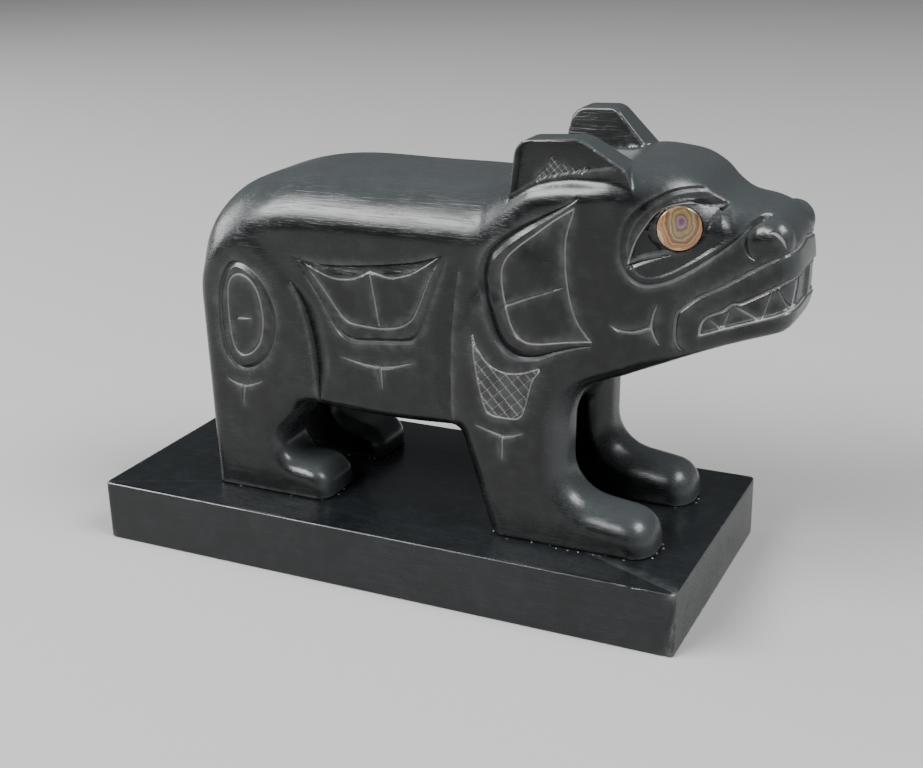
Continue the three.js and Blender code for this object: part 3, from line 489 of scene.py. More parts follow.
# shoulder: a broad band round a field with a bar across it
cut([(48.4, 80.3), (43.7, 77.5), (38.6, 74.7), (34.5, 72.3), (30.6, 69.6), (27.6, 66.6), (26, 63), (25.9, 59.5),
     (27.5, 55), (29.3, 49.5), (31.5, 46.2), (35, 44.5), (39.3, 45), (43.2, 46.5), (47.5, 47.7), (52.4, 48.6)],
    1.9, 0.9, 0.85, "both")
cut([(47.2, 78.2), (42.5, 75.1), (38.8, 72.2), (34.7, 69), (32.2, 66.4), (31, 63.5), (31.1, 59.5), (32.2, 55.2),
     (33.2, 51.8), (34.8, 49.3), (37, 48.1), (40, 48.2), (45, 49), (51.2, 49.5)], 0.35, 0.35, 0.35)
cut([(47, 77.5), (45.6, 73), (45.1, 68.5), (45.4, 63.5), (46.4, 58), (48, 53.5), (50.4, 50)], 0.35, 0.35, 0.4)
cut([(45.3, 61), (38.5, 58.6), (31.9, 55.9)], 0.6, 0.3, 0.5, "start")

# fore leg: the border of a hatched patch, and a mark below it
PATCH = [(23.8, 48), (24.2, 41.5), (25.8, 33.5), (27.5, 30.1), (31, 29.6), (34.8, 30.1), (36.4, 33.5), (38, 39),
         (40, 42.4), (36, 41), (31.5, 40.3), (27.4, 41.8), (24.6, 45.5)]
cut(PATCH, 0.3, 0.3, 0.3, closed=True)
mark((30.5, 24.9), [[(26.5, 26), (23.6, 27)], [(33.3, 25.5), (36, 26.6)], [(30.5, 18.3)]], 1.2, 0.6)

# head: the socket's edge, which runs on to the nose, the lid, the cheek's mark, the lip and the teeth
SOCKET_LINE = [(76.5, 80.2), (74, 81.3), (71, 82.4), (67.5, 82.4), (64.5, 81.3), (61, 79), (58.3, 75.7), (57, 71.5),
               (57.2, 67.3), (58.8, 64.4), (61.5, 62.6), (65.5, 63), (70, 65.1), (75, 68.6), (79, 72), (81.5, 75),
               (83.4, 76.6), (86, 77.4)]
UPPER_LID = [(77.2, 78.9), (73.5, 79.6), (70, 80), (66.5, 79.4), (63.7, 77.4), (61.6, 74.5), (59.8, 71.3), (58.5, 67)]
LOWER_LID = [(58.5, 67), (62.5, 68.5), (66, 69.2), (69.5, 69.6), (72, 70.9), (73.8, 73.3), (75, 77), (77.2, 78.9)]
UPPER_TEETH = [(96, 65.3), (91.5, 64.5), (88.5, 63.1), (85.2, 61.2), (81, 58.9), (79.1, 58.5), (77.2, 57),
               (74.4, 55.7), (73.3, 54), (73, 51.8)]
LOWER_TEETH = [(73, 51.8), (77, 53.1), (83, 55.1), (87.5, 56.6), (91.2, 57.8), (96, 58.6)]
cut(SOCKET_LINE, 1.2, 0.5, 0.75, "both")
cut(UPPER_LID, 0.3, 0.3, 0.3)
cut([(69.5, 80.3), (72, 80), (74.5, 79.5), (77.6, 78.8)], 0.6, 0.5, 0.9, "both", dust=0.05)
cut([(58.2, 66.5), (61, 67.5), (64, 68.3), (67, 68.8)], 0.1, 1.1, 0.6, "end", dust=0.45)
mark((63.4, 53.4), [[(60, 52.3), (57, 52.5), (54.8, 54)], [(64, 56.5), (64.9, 59.2)], [(64.2, 51.3), (65.4, 49.6)]],
     1.4, 0.6)
cut([(96, 71.2), (91.2, 70.2), (88, 69.2), (83.6, 66.7), (77.2, 62.6), (72.8, 60.4), (70, 58.2), (68.5, 56.5),
     (68.1, 53), (68.3, 50.4), (69.1, 48.3)], 0.6, 0.35, 0.55)
cut(UPPER_TEETH, 0.4, 0.6, 0.5)
cut(LOWER_TEETH, 0.3, 0.5, 0.5)
for tooth in [[(74.3, 55.7), (76.9, 53.3)], [(78.9, 58.5), (77.6, 53.6)], [(79.2, 58.3), (84.2, 55.6)],
              [(86.9, 62.2), (85.2, 56)], [(87.4, 62.8), (90.8, 57.8)], [(91.7, 64), (91, 58)]]:
    cut(tooth, 0.35, 0.35, 0.5)
ring = [(NOSTRIL["place"][0] + 4.7 * math.cos(a), NOSTRIL["place"][2] + 4.8 * math.sin(a))
        for a in np.radians(np.arange(60, 240, 22))]
cut(ring, 0.4, 0.8, 0.6, "both", dust=0.1)
cut([(85.4, 74.3), (87, 74.2), (88.5, 72.9), (89.3, 70.9)], 0.45, 0.45, 0.35, "both")
print(len(CUTS), "cut lines")

# %% [markdown]
# ## Cross-hatching
# Two patches are filled with fine crossing lines. A family of parallel lines is laid over the patch, and each line is
# kept only where it runs inside the border.


# %% Hatching
def hatch(border, angle, pitch):
    """Parallel scratches inside a border."""
    run = np.array([math.cos(math.radians(angle)), math.sin(math.radians(angle))])
    across = np.array([-run[1], run[0]])
    outline = soft_curve(border, True)
    u, v = outline @ run, outline @ across
    for level in np.arange(math.ceil(v.min() / pitch) * pitch, v.max(), pitch):
        next_u, next_v = np.roll(u, -1), np.roll(v, -1)
        met = np.flatnonzero((v > level) != (next_v > level))
        stops = np.sort(u[met] + (next_u - u)[met] * (level - v[met]) / (next_v - v)[met])
        for start, end in zip(stops[::2], stops[1::2]):
            if end - start > 0.6:
                line = np.outer([start, end], run) + level * across
                CUTS.append({"line": line, "left": 0.17, "right": 0.17, "depth": 0.2, "fade": "none", "closed": False,
                             "dust": 0.8})


EAR_PATCH = [(36.8, 82.3), (38.6, 84.6), (39.8, 86.4), (40.7, 88), (42, 86.9), (43.6, 86), (45.8, 85.6), (50.5, 85.7),
             (44.7, 84.5), (41.4, 83.8)]
for angle in (42, -48):
    hatch(PATCH, angle, 2.1)
    hatch(EAR_PATCH, angle, 1.15)
print(len(CUTS), "cut lines with the hatching")

# %% [markdown]
# ## Where a point lies beside a line
# The lines are drawn in the side view, so a point of the skin is looked up by its x and height. The lip and the
# teeth run on round the snout: in front of `SNOUT_TURN` the side view's x is swapped for the angle round a pivot,
# and reaches `SNOUT_END` in the middle of the front.

# %% Beside a line
SNOUT_PIVOT, SNOUT_TURN, SNOUT_END = 84, 90, 96
turn_heights = np.arange(40.0, 85.0)
turn_widths = np.full(len(turn_heights), 2.0)
for width in np.arange(2, 20, 0.1):
    probe = np.stack([np.full(len(turn_heights), float(SNOUT_TURN)), np.full(len(turn_heights), width), turn_heights], 1)
    turn_widths = np.where(stone(probe) < 0, width, turn_widths)


def side_view(p):
    """The x and height at which the side view shows the points p."""
    x, y, z = p[:, 0], np.abs(p[:, 1]), p[:, 2]
    angle = np.arctan2(x - SNOUT_PIVOT, y)
    at_turn = np.arctan2(SNOUT_TURN - SNOUT_PIVOT, np.interp(z, turn_heights, turn_widths))
    round_front = SNOUT_TURN + (SNOUT_END - SNOUT_TURN) * (angle - at_turn) / (math.pi / 2 - at_turn)
    return np.stack([np.where((x > SNOUT_TURN - 3) & (angle > at_turn) & (z > 45), round_front, x), z], 1)


def beside(one, at):
    """How far off a line places lie, above 0 to its left, and how far along it from 0 to 1."""
    line = one["line"]
    starts, ends = (line, np.roll(line, -1, 0)) if one["closed"] else (line[:-1], line[1:])
    best, off, along = np.full(len(at), np.inf), np.zeros(len(at)), np.zeros(len(at))
    for i, (start, end) in enumerate(zip(starts, ends)):
        run = end - start
        to = at - start
        t = np.clip(to @ run / (run @ run), 0, 1)
        gap = ((to - t[:, None] * run) ** 2).sum(1)
        near = gap < best
        best[near] = gap[near]
        side = np.sign(run[0] * to[:, 1] - run[1] * to[:, 0])
        off[near] = (side * np.sqrt(gap))[near]
        along[near] = (i + t[near]) / len(starts)
    return off, along


FADES = {
    "none": lambda t: np.ones(t.shape),
    "start": lambda t: t**0.6,
    "end": lambda t: (1 - t) ** 0.6,
    "both": lambda t: np.minimum(1, (3.5 * np.minimum(t, 1 - t)) ** 0.7),
}


def facing(p):
    """How far a place faces sideways: 1 straight out, 0 up or forwards."""
    away = slope(p)
    return np.sign(p[:, 1]) * away[:, 1] / np.linalg.norm(away, axis=1)


def in_view(p):
    """Whether places can carry side-view lines at all."""
    return (facing(p) > 0.25) | ((p[:, 0] > 86) & (p[:, 2] > 50) & (p[:, 2] < 75))


# %% [markdown]
# ## Hollows
# The eye lies in a socket, the eyeball lies deeper between its lids with a seat for the disc, and the mouth is open.
# Each hollow is an outline in the side view, a depth, and how wide its wall is.

# %% Hollows
EYEBALL = {"place": np.array([68.4, 13.6, 74.6]), "half": np.array([8.4, 3.2, 6.4]), "turn": math.radians(19)}
SEAT_RADIUS = 4.88
eye_edge = OutlineMap(np.concatenate([soft_curve(UPPER_LID)[:-1], soft_curve(LOWER_LID)[:-1]]), step=0.15, margin=6)
socket_edge = OutlineMap(soft_curve(SOCKET_LINE[:15]), step=0.15, margin=6)
mouth_edge = OutlineMap(np.concatenate([soft_curve(UPPER_TEETH)[:-1], soft_curve(LOWER_TEETH)[:-1]]), step=0.15,
                        margin=6)
seat_turns = np.arange(40) * math.tau / 40
seat_edge = OutlineMap(np.stack([EYEBALL["place"][0] + 0.12 + SEAT_RADIUS * math.cos(EYEBALL["turn"]) * np.cos(seat_turns),
                                 EYEBALL["place"][2] + SEAT_RADIUS * np.sin(seat_turns)], 1), step=0.1, margin=3)
HOLLOWS = {
    "socket": {"edge": socket_edge, "depth": 1, "wall": 1.6},
    "mouth": {"edge": mouth_edge, "depth": 0.6, "wall": 0.6},
    "lids": {"edge": eye_edge, "depth": 1.5, "wall": 0.5},
    "seat": {"edge": seat_edge, "depth": 1.5, "wall": 0.12},
}
SOCKET_FADE = (73, 81)
EAR_HOLLOW = {"rim": 0.5, "depth": 1.8, "wall": 0.35}


EAR_FOOT = [(31, 78.8), (34.2, 80.8), (37.6, 82.6), (41.4, 83.8), (44.8, 84.5), (49, 85.3), (58, 86.9)]


def ear_foot(x, z):
    """How far places on the ear's outer face lie above the head and above the foot of the ear's hollow."""
    above = z - np.interp(x, *zip(*EAR_FOOT))
    return np.minimum(head_mass(x, np.full(len(x), EAR["outer"] + 0.0), z), above)


def on_ear(p, at):
    return (at[:, 1] > 76) & (np.abs(p[:, 1]) > EAR["outer"] - 1) & (ear_edge(p, at[:, 0], at[:, 1]) < 0.2)


def wall_share(hollow, at):
    """0 outside a hollow, 1 on its floor."""
    return np.clip(-hollow["edge"](at[:, 0], at[:, 1]) / hollow["wall"], 0, 1)


# %% [markdown]
# ## A finer skin beside the cuts
# A V cut under a millimetre wide needs small triangles, and the bear's back doesn't. Edges that are longer than
# wanted are halved, always with the longest edge of each triangle too, which keeps the triangles well shaped and the
# skin closed.

# %% Refine
FINEST = 0.62


def sides_of(triangles, count):
    """Every side once, as its two ends, and which three sides each triangle has."""
    ends = np.sort(np.stack([triangles, np.roll(triangles, -1, 1)], 2), 2)
    keys, which = np.unique(ends[..., 0].astype(np.int64) * count + ends[..., 1], return_inverse=True)
    return keys // count, keys % count, which.reshape(triangles.shape)


def split(points, triangles, which, middle):
    """Cuts triangles at the new points on their sides, -1 where a side stays whole."""
    half = middle[which]
    cuts = (half >= 0).sum(1)
    made = [triangles[cuts == 0]]
    for k in range(3):
        corner, new = np.roll(triangles, -k, 1), np.roll(half, -k, 1)
        one = (cuts == 1) & (new[:, 0] >= 0)
        (a, b, c), m = corner[one].T, new[one, 0]
        made += [np.stack([a, m, c], 1), np.stack([m, b, c], 1)]
        two = (cuts == 2) & (new[:, 2] < 0)
        (a, b, c), (m, n) = corner[two].T, new[two, :2].T
        short = (np.linalg.norm(points[m] - points[c], axis=1) < np.linalg.norm(points[a] - points[n], axis=1))[:, None]
        made += [np.stack([m, b, n], 1), np.where(short, np.stack([a, m, c], 1), np.stack([a, m, n], 1)),
                 np.where(short, np.stack([m, n, c], 1), np.stack([a, n, c], 1))]
    (a, b, c), (m, n, o) = triangles[cuts == 3].T, half[cuts == 3].T
    made += [np.stack(three, 1) for three in ((a, m, o), (m, b, n), (o, n, c), (m, n, o))]
    return np.concatenate(made)


def near_line(one, at, reach):
    low, high = one["line"].min(0) - reach, one["line"].max(0) + reach
    return np.flatnonzero(((at > low) & (at < high)).all(1))


def wanted_side(p):
    """The longest side that may stay at the points p."""
    at = side_view(p)
    gap = np.full(len(p), 9.0)
    for one in CUTS:
        near = near_line(one, at, 5)
        off, _ = beside(one, at[near])
        width = np.where(off > 0, one["left"], one["right"])
        gap[near] = np.minimum(gap[near], np.maximum(0, np.abs(off) - width))
    near = np.flatnonzero((at[:, 0] > 50) & (at[:, 1] > 45))
    for hollow in HOLLOWS.values():
        edge = np.abs(hollow["edge"](at[near, 0], at[near, 1]))
        gap[near] = np.minimum(gap[near], np.maximum(0, edge - hollow["wall"]))
    near = np.flatnonzero(on_ear(p, at))
    gap[near] = np.minimum(gap[near], np.maximum(0, np.abs(ear_foot(*at[near].T)) - 1))
    gap[~in_view(p)] = 9
    outline = np.abs(ear_edge(p, at[:, 0], at[:, 1]))
    bend = np.where((p[:, 2] > 78) & (np.abs(p[:, 1]) > 8), 0.9, 1.6)
    eye = (np.hypot(at[:, 0] - EYEBALL["place"][0], at[:, 1] - EYEBALL["place"][2]) < 9) & (gap < 9)
    finest = np.where(eye, 0.45, FINEST)
    sole = np.where(p[:, 2] < 3, 0.42 + 0.5 * np.maximum(0, p[:, 2] - 0.9), 9)
    ear = np.where((at[:, 1] > 80) & (np.abs(p[:, 1]) > 9), 0.36 + 0.5 * np.maximum(0, outline - 0.8), 9)
    return np.minimum(np.minimum(np.minimum(bend, ear), sole), finest + 0.5 * gap)


def halve_sides(points, triangles, rounds=8):
    for _ in range(rounds):
        a, b, which = sides_of(triangles, len(points))
        length = np.linalg.norm(points[a] - points[b], axis=1)
        wanted = length > 1.3 * wanted_side((points[a] + points[b]) / 2)
        length += np.arange(len(a)) * 1e-12
        longest = np.take_along_axis(which, length[which].argmax(1)[:, None], 1)[:, 0]
        while not wanted[longest[wanted[which].any(1)]].all():
            wanted[longest[wanted[which].any(1)]] = True
        if not wanted.any():
            break
        middle = np.full(len(a), -1)
        middle[wanted] = len(points) + np.arange(wanted.sum())
        points = np.concatenate([points, settle((points[a[wanted]] + points[b[wanted]]) / 2, 2)])
        triangles = split(points, triangles, which, middle)
    return points, triangles


points, triangles = halve_sides(points, triangles)
print("finer skin", len(points), "points", len(triangles), "triangles")

# %% [markdown]
# ## Scribing
# A crisp cut needs edges of the skin exactly along its bottom and its two shoulders. Points that nearly lie on such a
# line are moved onto it, and every triangle that it crosses is split there, just as a carver scribes a line before
# cutting it.

# %% Scribe
SNAP = 0.12


class Skin:
    def __init__(self, points, triangles):
        self.points, self.triangles = points, triangles
        self.at = side_view(points)
        self.fit = in_view(points)
        self.steady = (facing(points) > 0.45) & (points[:, 0] < SNOUT_TURN - 0.5)
        self.fixed = np.zeros(len(points), bool)


def on_side(p, at):
    """Points moved to a new x and height, and back onto the skin sideways."""
    q = np.stack([at[:, 0], p[:, 1], at[:, 1]], 1)
    for _ in range(3):
        away = slope(q)[:, 1]
        q[:, 1] -= stone(q) / np.where(np.abs(away) < 0.3, np.inf, away)
    return q


def towards(trace, at, value):
    """The step from places to where the trace is 0."""
    tiny = 0.01
    rise = np.stack([(trace(at + step)[0] - value) / tiny for step in ([tiny, 0], [0, tiny])], 1)
    return -value[:, None] * rise / np.maximum(0.3, (rise**2).sum(1))[:, None]


def scribe(skin, near, trace, snap=SNAP):
    """Makes sides of the skin run where the trace is 0. A trace gives places their value and whether they count."""
    near = near[skin.fit[near]]
    value = np.full(len(skin.points), np.nan)
    value[near], counts = trace(skin.at[near])
    close = near[(np.abs(value[near]) < snap) & counts]
    free = close[skin.steady[close] & ~skin.fixed[close]]
    skin.at[free] += towards(trace, skin.at[free], value[free])
    skin.points[free] = on_side(skin.points[free], skin.at[free])
    value[close] = 0
    skin.fixed[close] = True

    touched = (~np.isnan(value[skin.triangles])).sum(1) >= 2
    a, b, which = sides_of(skin.triangles[touched], len(skin.points))
    with np.errstate(invalid="ignore"):
        crossed = value[a] * value[b] < 0
    share = np.zeros(len(a))
    share[crossed] = value[a[crossed]] / (value[a[crossed]] - value[b[crossed]])
    share = share[:, None]
    at = skin.at[a] * (1 - share) + skin.at[b] * share
    found = np.flatnonzero(crossed)
    off, counts = trace(at[found])
    found = found[counts & (np.abs(off) < 0.3)]
    if len(found) == 0:
        return
    new_at = at[found]
    off, _ = trace(new_at)
    steady = skin.steady[a[found]] & skin.steady[b[found]]
    new_at[steady] += towards(trace, new_at, off)[steady]
    new = (skin.points[a] * (1 - share) + skin.points[b] * share)[found]
    new[steady] = on_side(new[steady], new_at[steady])
    new[~steady] = settle(new[~steady], 2)
    middle = np.full(len(a), -1)
    middle[found] = len(skin.points) + np.arange(len(found))
    skin.points = np.concatenate([skin.points, new])
    skin.at = np.concatenate([skin.at, new_at])
    skin.fit = np.concatenate([skin.fit, np.ones(len(new), bool)])
    skin.steady = np.concatenate([skin.steady, steady])
    skin.fixed = np.concatenate([skin.fixed, np.ones(len(new), bool)])
    skin.triangles = np.concatenate([skin.triangles[~touched], split(skin.points, skin.triangles[touched], which, middle)])


def line_trace(one, side):
    """The bottom of a cut, side 0, or its left or right shoulder, side 1 or -1."""
    def trace(at):
        off, along = beside(one, at)
        width = {0: 0, 1: one["left"], -1: -one["right"]}[side]
        counts = np.full(len(at), True) if one["closed"] else (along > 0) & (along < 1)
        return off - width * FADES[one["fade"]](along), counts
    return trace


def level_trace(edge, level):
    return lambda at: (edge(at[:, 0], at[:, 1]) - level, np.full(len(at), True))


skin = Skin(points, triangles)
for one in CUTS:
    for side in (0, 1, -1):
        scribe(skin, near_line(one, skin.at, 2.5), line_trace(one, side), min(SNAP, 0.35 * min(one["left"], one["right"])))
for hollow in HOLLOWS.values():
    for level in (0, -hollow["wall"]):
        near = np.flatnonzero((skin.at[:, 0] > 50) & (skin.at[:, 1] > 45) & (skin.at[:, 1] < 84))
        scribe(skin, near, level_trace(hollow["edge"], level), min(SNAP, 0.4 * hollow["wall"]))
for side, outline in ear_sides.items():
    rim, wall = EAR_HOLLOW["rim"], EAR_HOLLOW["wall"]
    for edge, level in ((outline, -rim), (outline, -rim - wall), (ear_foot, 0), (ear_foot, wall)):
        near = np.flatnonzero(on_ear(skin.points, skin.at) & (np.sign(skin.points[:, 1]) == side))
        scribe(skin, near, level_trace(edge, level))
print("scribed skin", len(skin.points), "points", len(skin.triangles), "triangles")

# %% [markdown]
# ## Carving
# Every point in a cut or a hollow now sinks straight into the stone. The eye's opening has the rounded eyeball as
# its floor. How deep in a cut a point lies is kept on it, because fresh cuts in argillite are light grey.

# %% Carve
def eyeball_depth(p, inwards):
    """How far in from p the eyeball's surface lies, below 0 where it stands out."""
    c, s = math.cos(EYEBALL["turn"]), math.sin(EYEBALL["turn"])
    side = np.where(p[:, 1] < 0, -1.0, 1.0)

    def turned(v):
        x, y = v[:, 0], v[:, 1] * side
        return np.stack([c * x - s * y, s * x + c * y, v[:, 2]], 1) / EYEBALL["half"]

    place = EYEBALL["place"] * np.stack([np.ones(len(p)), side, np.ones(len(p))], 1)
    o, d = turned(p - place), turned(inwards)
    a, b, k = (d * d).sum(1), (o * d).sum(1), (o * o).sum(1) - 1
    root = np.maximum(b * b - a * k, 0)
    return np.where(b * b > a * k, (-b - np.sqrt(root)) / a, 9.0)


def sink(skin):
    """The carved points, and how deeply each lies in a cut line from 0 to 1."""
    depth, fresh = np.zeros(len(skin.points)), np.zeros(len(skin.points))
    for one in CUTS:
        near = near_line(one, skin.at, 3)
        near = near[skin.fit[near]]
        off, along = beside(one, skin.at[near])
        share = FADES[one["fade"]](along)
        width = np.maximum(np.where(off > 0, one["left"], one["right"]) * share, 0.02)
        wall = np.clip(1 - np.abs(off) / width, 0, 1) * (share > 0)
        depth[near] = np.maximum(depth[near], 1.25 * one["depth"] * share * wall)
        fresh[near] = np.maximum(fresh[near], one["dust"] * wall * np.minimum(1, 2.5 * share))
    away = slope(skin.points)
    away /= np.linalg.norm(away, axis=1)[:, None]
    side = np.sign(skin.points[:, 1]) * away[:, 1]
    hold = np.where(skin.at[:, 0] > SNOUT_TURN, 1, ease(side, 0.25, 0.5))
    depth, fresh = depth * hold, fresh * hold
    near = np.flatnonzero(skin.fit & (skin.at[:, 0] > 55) & (skin.at[:, 1] > 45) & (skin.at[:, 1] < 84))
    at = skin.at[near]
    depth[near] += HOLLOWS["mouth"]["depth"] * wall_share(HOLLOWS["mouth"], at)
    near = near[np.abs(skin.points[near, 1]) > 4]
    at = skin.at[near]
    fading = (1 - ease(at[:, 0], *SOCKET_FADE)) * hold[near]
    depth[near] += HOLLOWS["socket"]["depth"] * fading * wall_share(HOLLOWS["socket"], at)
    lids = wall_share(HOLLOWS["lids"], at) * hold[near]
    floor = np.maximum(eyeball_depth(skin.points[near], -away[near]), depth[near] + 0.2 * lids)
    deep = np.minimum(depth[near] + HOLLOWS["lids"]["depth"] * lids, floor)
    depth[near] = deep + HOLLOWS["seat"]["depth"] * wall_share(HOLLOWS["seat"], at)
    near = np.flatnonzero(on_ear(skin.points, skin.at) & (side > 0.9))
    x, z = skin.at[near].T
    inside = np.minimum(-ear_edge(skin.points[near], x, z) - EAR_HOLLOW["rim"], ear_foot(x, z)) / EAR_HOLLOW["wall"]
    depth[near] += EAR_HOLLOW["depth"] * np.clip(inside, 0, 1)
    return skin.points - depth[:, None] * away, fresh


points, fresh = sink(skin)
triangles = skin.triangles
print("deepest place", round(float(np.linalg.norm(points - skin.points, axis=1).max()), 2), "mm")

# %% [markdown]
# ## From points to a mesh
# Handling rubs the high edges of a carving pale, and the same pale grey also paints highlights along the rims. How far
# each point stands out from its neighbours is measured here and kept on the mesh as an attribute, next to `fresh_cut`,
# so that the stone's finish can read both. Edges that turn by more than a small angle stay crisp and the rest is
# smooth.

# %% The bear as a mesh
SHARP_ANGLE = 26


# Pale edges: wear from handling, and a painted highlight along the rims and crests.
def rubbed_and_highlit_edges(points, triangles):
    """How much each point stands out from its neighbours, from 0 to 1."""
    a, b, _ = sides_of(triangles, len(points))
    step = points[b] - points[a]
    length = np.linalg.norm(step, axis=1)
    around, reach, count = np.zeros(points.shape), np.zeros(len(points)), np.zeros(len(points))
    for ends, sign in ((a, 1), (b, -1)):
        np.add.at(around, ends, sign * step)
        np.add.at(reach, ends, length)
        np.add.at(count, ends, 1)
    corners = points[triangles]
    face = np.cross(corners[:, 1] - corners[:, 0], corners[:, 2] - corners[:, 0])
    out = np.zeros(points.shape)
    for k in range(3):
        np.add.at(out, triangles[:, k], face)
    out /= np.maximum(np.linalg.norm(out, axis=1), 1e-9)[:, None]
    worn_and_highlit = ease(-(around * out).sum(1) / np.maximum(reach, 1e-9), 0.08, 0.3)
    for _ in range(2):
        mean = worn_and_highlit.copy()
        np.add.at(mean, a, worn_and_highlit[b])
        np.add.at(mean, b, worn_and_highlit[a])
        worn_and_highlit = np.maximum(worn_and_highlit * 0.5, mean / (count + 1))
    x, y, z = points.T
    ear_base = (np.abs(np.abs(y) - EAR["outer"] + 4) < 6) & (x > 28) & (z - SOLE < np.interp(x, *zip(*EAR_FOOT)) + 2.5)
    return np.where(ear_base & (x < 60) & (z - SOLE > 78), 0, worn_and_highlit)


def mesh_object(name, points, triangles, attributes=()):
    """A smooth object whose place is in its mesh, from points in millimetres over the floor."""
    mesh = bpy.data.meshes.new(name)
    mesh.vertices.add(len(points))
    mesh.vertices.foreach_set("co", (points * MM).astype(np.float32).ravel())
    mesh.loops.add(3 * len(triangles))
    mesh.loops.foreach_set("vertex_index", triangles.astype(np.int32).ravel())
    mesh.polygons.add(len(triangles))
    mesh.polygons.foreach_set("loop_start", np.arange(0, 3 * len(triangles), 3, dtype=np.int32))
    mesh.polygons.foreach_set("use_smooth", np.ones(len(triangles), bool))
    for attribute, values in attributes:
        layer = mesh.attributes.new(attribute, "FLOAT", "POINT")
        layer.data.foreach_set("value", values.astype(np.float32))
    mesh.validate()
    mesh.update()
    mesh.set_sharp_from_angle(angle=math.radians(SHARP_ANGLE))
    made = bpy.data.objects.new(name, mesh)
    bpy.context.scene.collection.objects.link(made)
    return made


def dress(piece, node, slot):
    """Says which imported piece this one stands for, and which finish it has."""
    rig.ride(piece, "root")
    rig.replaces(piece, node)
    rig.slot(piece, slot)


bear = mesh_object("bear_skin", points + [0, 0, SOLE], triangles,
                   [("fresh_cut", fresh), ("rubbed", rubbed_and_highlit_edges(points, triangles))])
dress(bear, "bear", "bear")
print("bear skin", len(bear.data.polygons), "triangles")

# %% [markdown]
# ## The slab
# The base is a sawn slab, rubbed smooth, with arrises that have lost a few chips, most of them at the corner nearest
# the viewer. It could be a box with a bevel, but chips need points along the edges. So one ring of close points runs
# round it, is repeated from the underside to the top, and is pushed in where a chip is missing.

# %% Slab
SLAB_LOW, SLAB_HIGH = (np.array(corner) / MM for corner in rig.box("plinth"))
SLAB_CORNER, ARRIS = 1.2, 0.5
CHIPS = {"depth": 0.5, "size": 1.1, "rarity": 0.62, "bad_corner": (75, -33.3), "bad_reach": 10}


def slab_ring(inset):
    """Close points round the slab's plan, and the way out at each."""
    radius = SLAB_CORNER
    half = SLAB_HIGH[:2] - radius
    places, outs = [], []
    for k, (sx, sy) in enumerate(((1, 1), (-1, 1), (-1, -1), (1, -1))):
        turns = np.radians(90 * k + np.linspace(0, 90, 7))
        out = np.stack([np.cos(turns), np.sin(turns)], 1)
        corner = half * (sx, sy) + out * (radius - inset)
        following = half * ((-1, 1), (-1, -1), (1, -1), (1, 1))[k] + out[-1] * (radius - inset)
        count = int(np.linalg.norm(following - corner[-1]) / 0.9)
        share = (np.arange(1, count) / count)[:, None]
        places += [corner, corner[-1] * (1 - share) + following * share]
        outs += [out, np.repeat(out[-1:], count - 1, 0)]
    return np.concatenate(places), np.concatenate(outs)


def chip_depth(p):
    """How much stone is missing from an edge at p."""
    worst = math.exp(-math.dist(p[:2], CHIPS["bad_corner"]) / CHIPS["bad_reach"])
    rough = noise.noise(Vector(p) / CHIPS["size"]) + 0.5 * noise.noise(Vector(p) / (0.4 * CHIPS["size"]))
    return CHIPS["depth"] * max(0, rough - CHIPS["rarity"] * (1 - 0.85 * worst)) * (0.5 + worst)


bend = np.radians([0, 30, 60, 90])
top_arris = [(ARRIS * (1 - math.cos(t)), SLAB_HIGH[2] - ARRIS + ARRIS * math.sin(t), 1) for t in bend]
foot_arris = [(ARRIS * (1 - math.cos(t)), ARRIS - ARRIS * math.sin(t), 1) for t in bend[::-1]]
sides = [(0, z, 0) for z in np.linspace(ARRIS, SLAB_HIGH[2] - ARRIS, 14)[1:-1]]
rings = foot_arris + sides + top_arris + [(ARRIS + 0.7, SLAB_HIGH[2], 0)]
slab_points = []
for inset, height, on_arris in rings:
    places, outs = slab_ring(inset)
    for place, out in zip(places, outs):
        on_corner = min(abs(out)) > 0.15
        lost = chip_depth((*place, height)) if on_arris or on_corner else 0
        down = math.copysign(lost, height - SLAB_HIGH[2] / 2) if on_arris else 0
        slab_points.append((place[0] - out[0] * lost, place[1] - out[1] * lost, height - down))
ring_size = len(slab_ring(0)[0])
slab_points += [(0, 0, SLAB_HIGH[2]), (0, 0, 0)]
slab_points = np.array(slab_points)
here = (np.arange(len(rings) - 1)[:, None] * ring_size + np.arange(ring_size)).ravel()
ahead = (np.arange(len(rings) - 1)[:, None] * ring_size + (np.arange(ring_size) + 1) % ring_size).ravel()
last = (len(rings) - 1) * ring_size + np.arange(ring_size)
top, underside = len(slab_points) - 2, len(slab_points) - 1
slab_triangles = np.concatenate([
    np.stack([here, ahead, ahead + ring_size], 1), np.stack([here, ahead + ring_size, here + ring_size], 1),
    np.stack([last, np.roll(last, -1), np.full(ring_size, top)], 1),
    np.stack([np.roll(np.arange(ring_size), -1), np.arange(ring_size), np.full(ring_size, underside)], 1)])
slab = mesh_object("slab", slab_points, slab_triangles, [("rubbed", rubbed_and_highlit_edges(slab_points, slab_triangles))])
dress(slab, "plinth", "plinth")
print("slab", len(slab_triangles), "triangles, size", (slab_points.max(0) - slab_points.min(0)).round(1))

# %% [markdown]
# ## The shell discs
# A disc of abalone shell is ground slightly domed and its rim is eased so that it slips into its seat. It is turned
# from a profile here, as on a lathe, and both eyes get the same disc.

# %% Shell discs
DISC = {"centre": (68.4, 17.1, 74.6), "radius": 4.6, "face": 0.25, "thickness": 1.4, "dome": 0.35, "ease": 0.3,
        "turn": EYEBALL["turn"]}
DISC_SIDES = 72


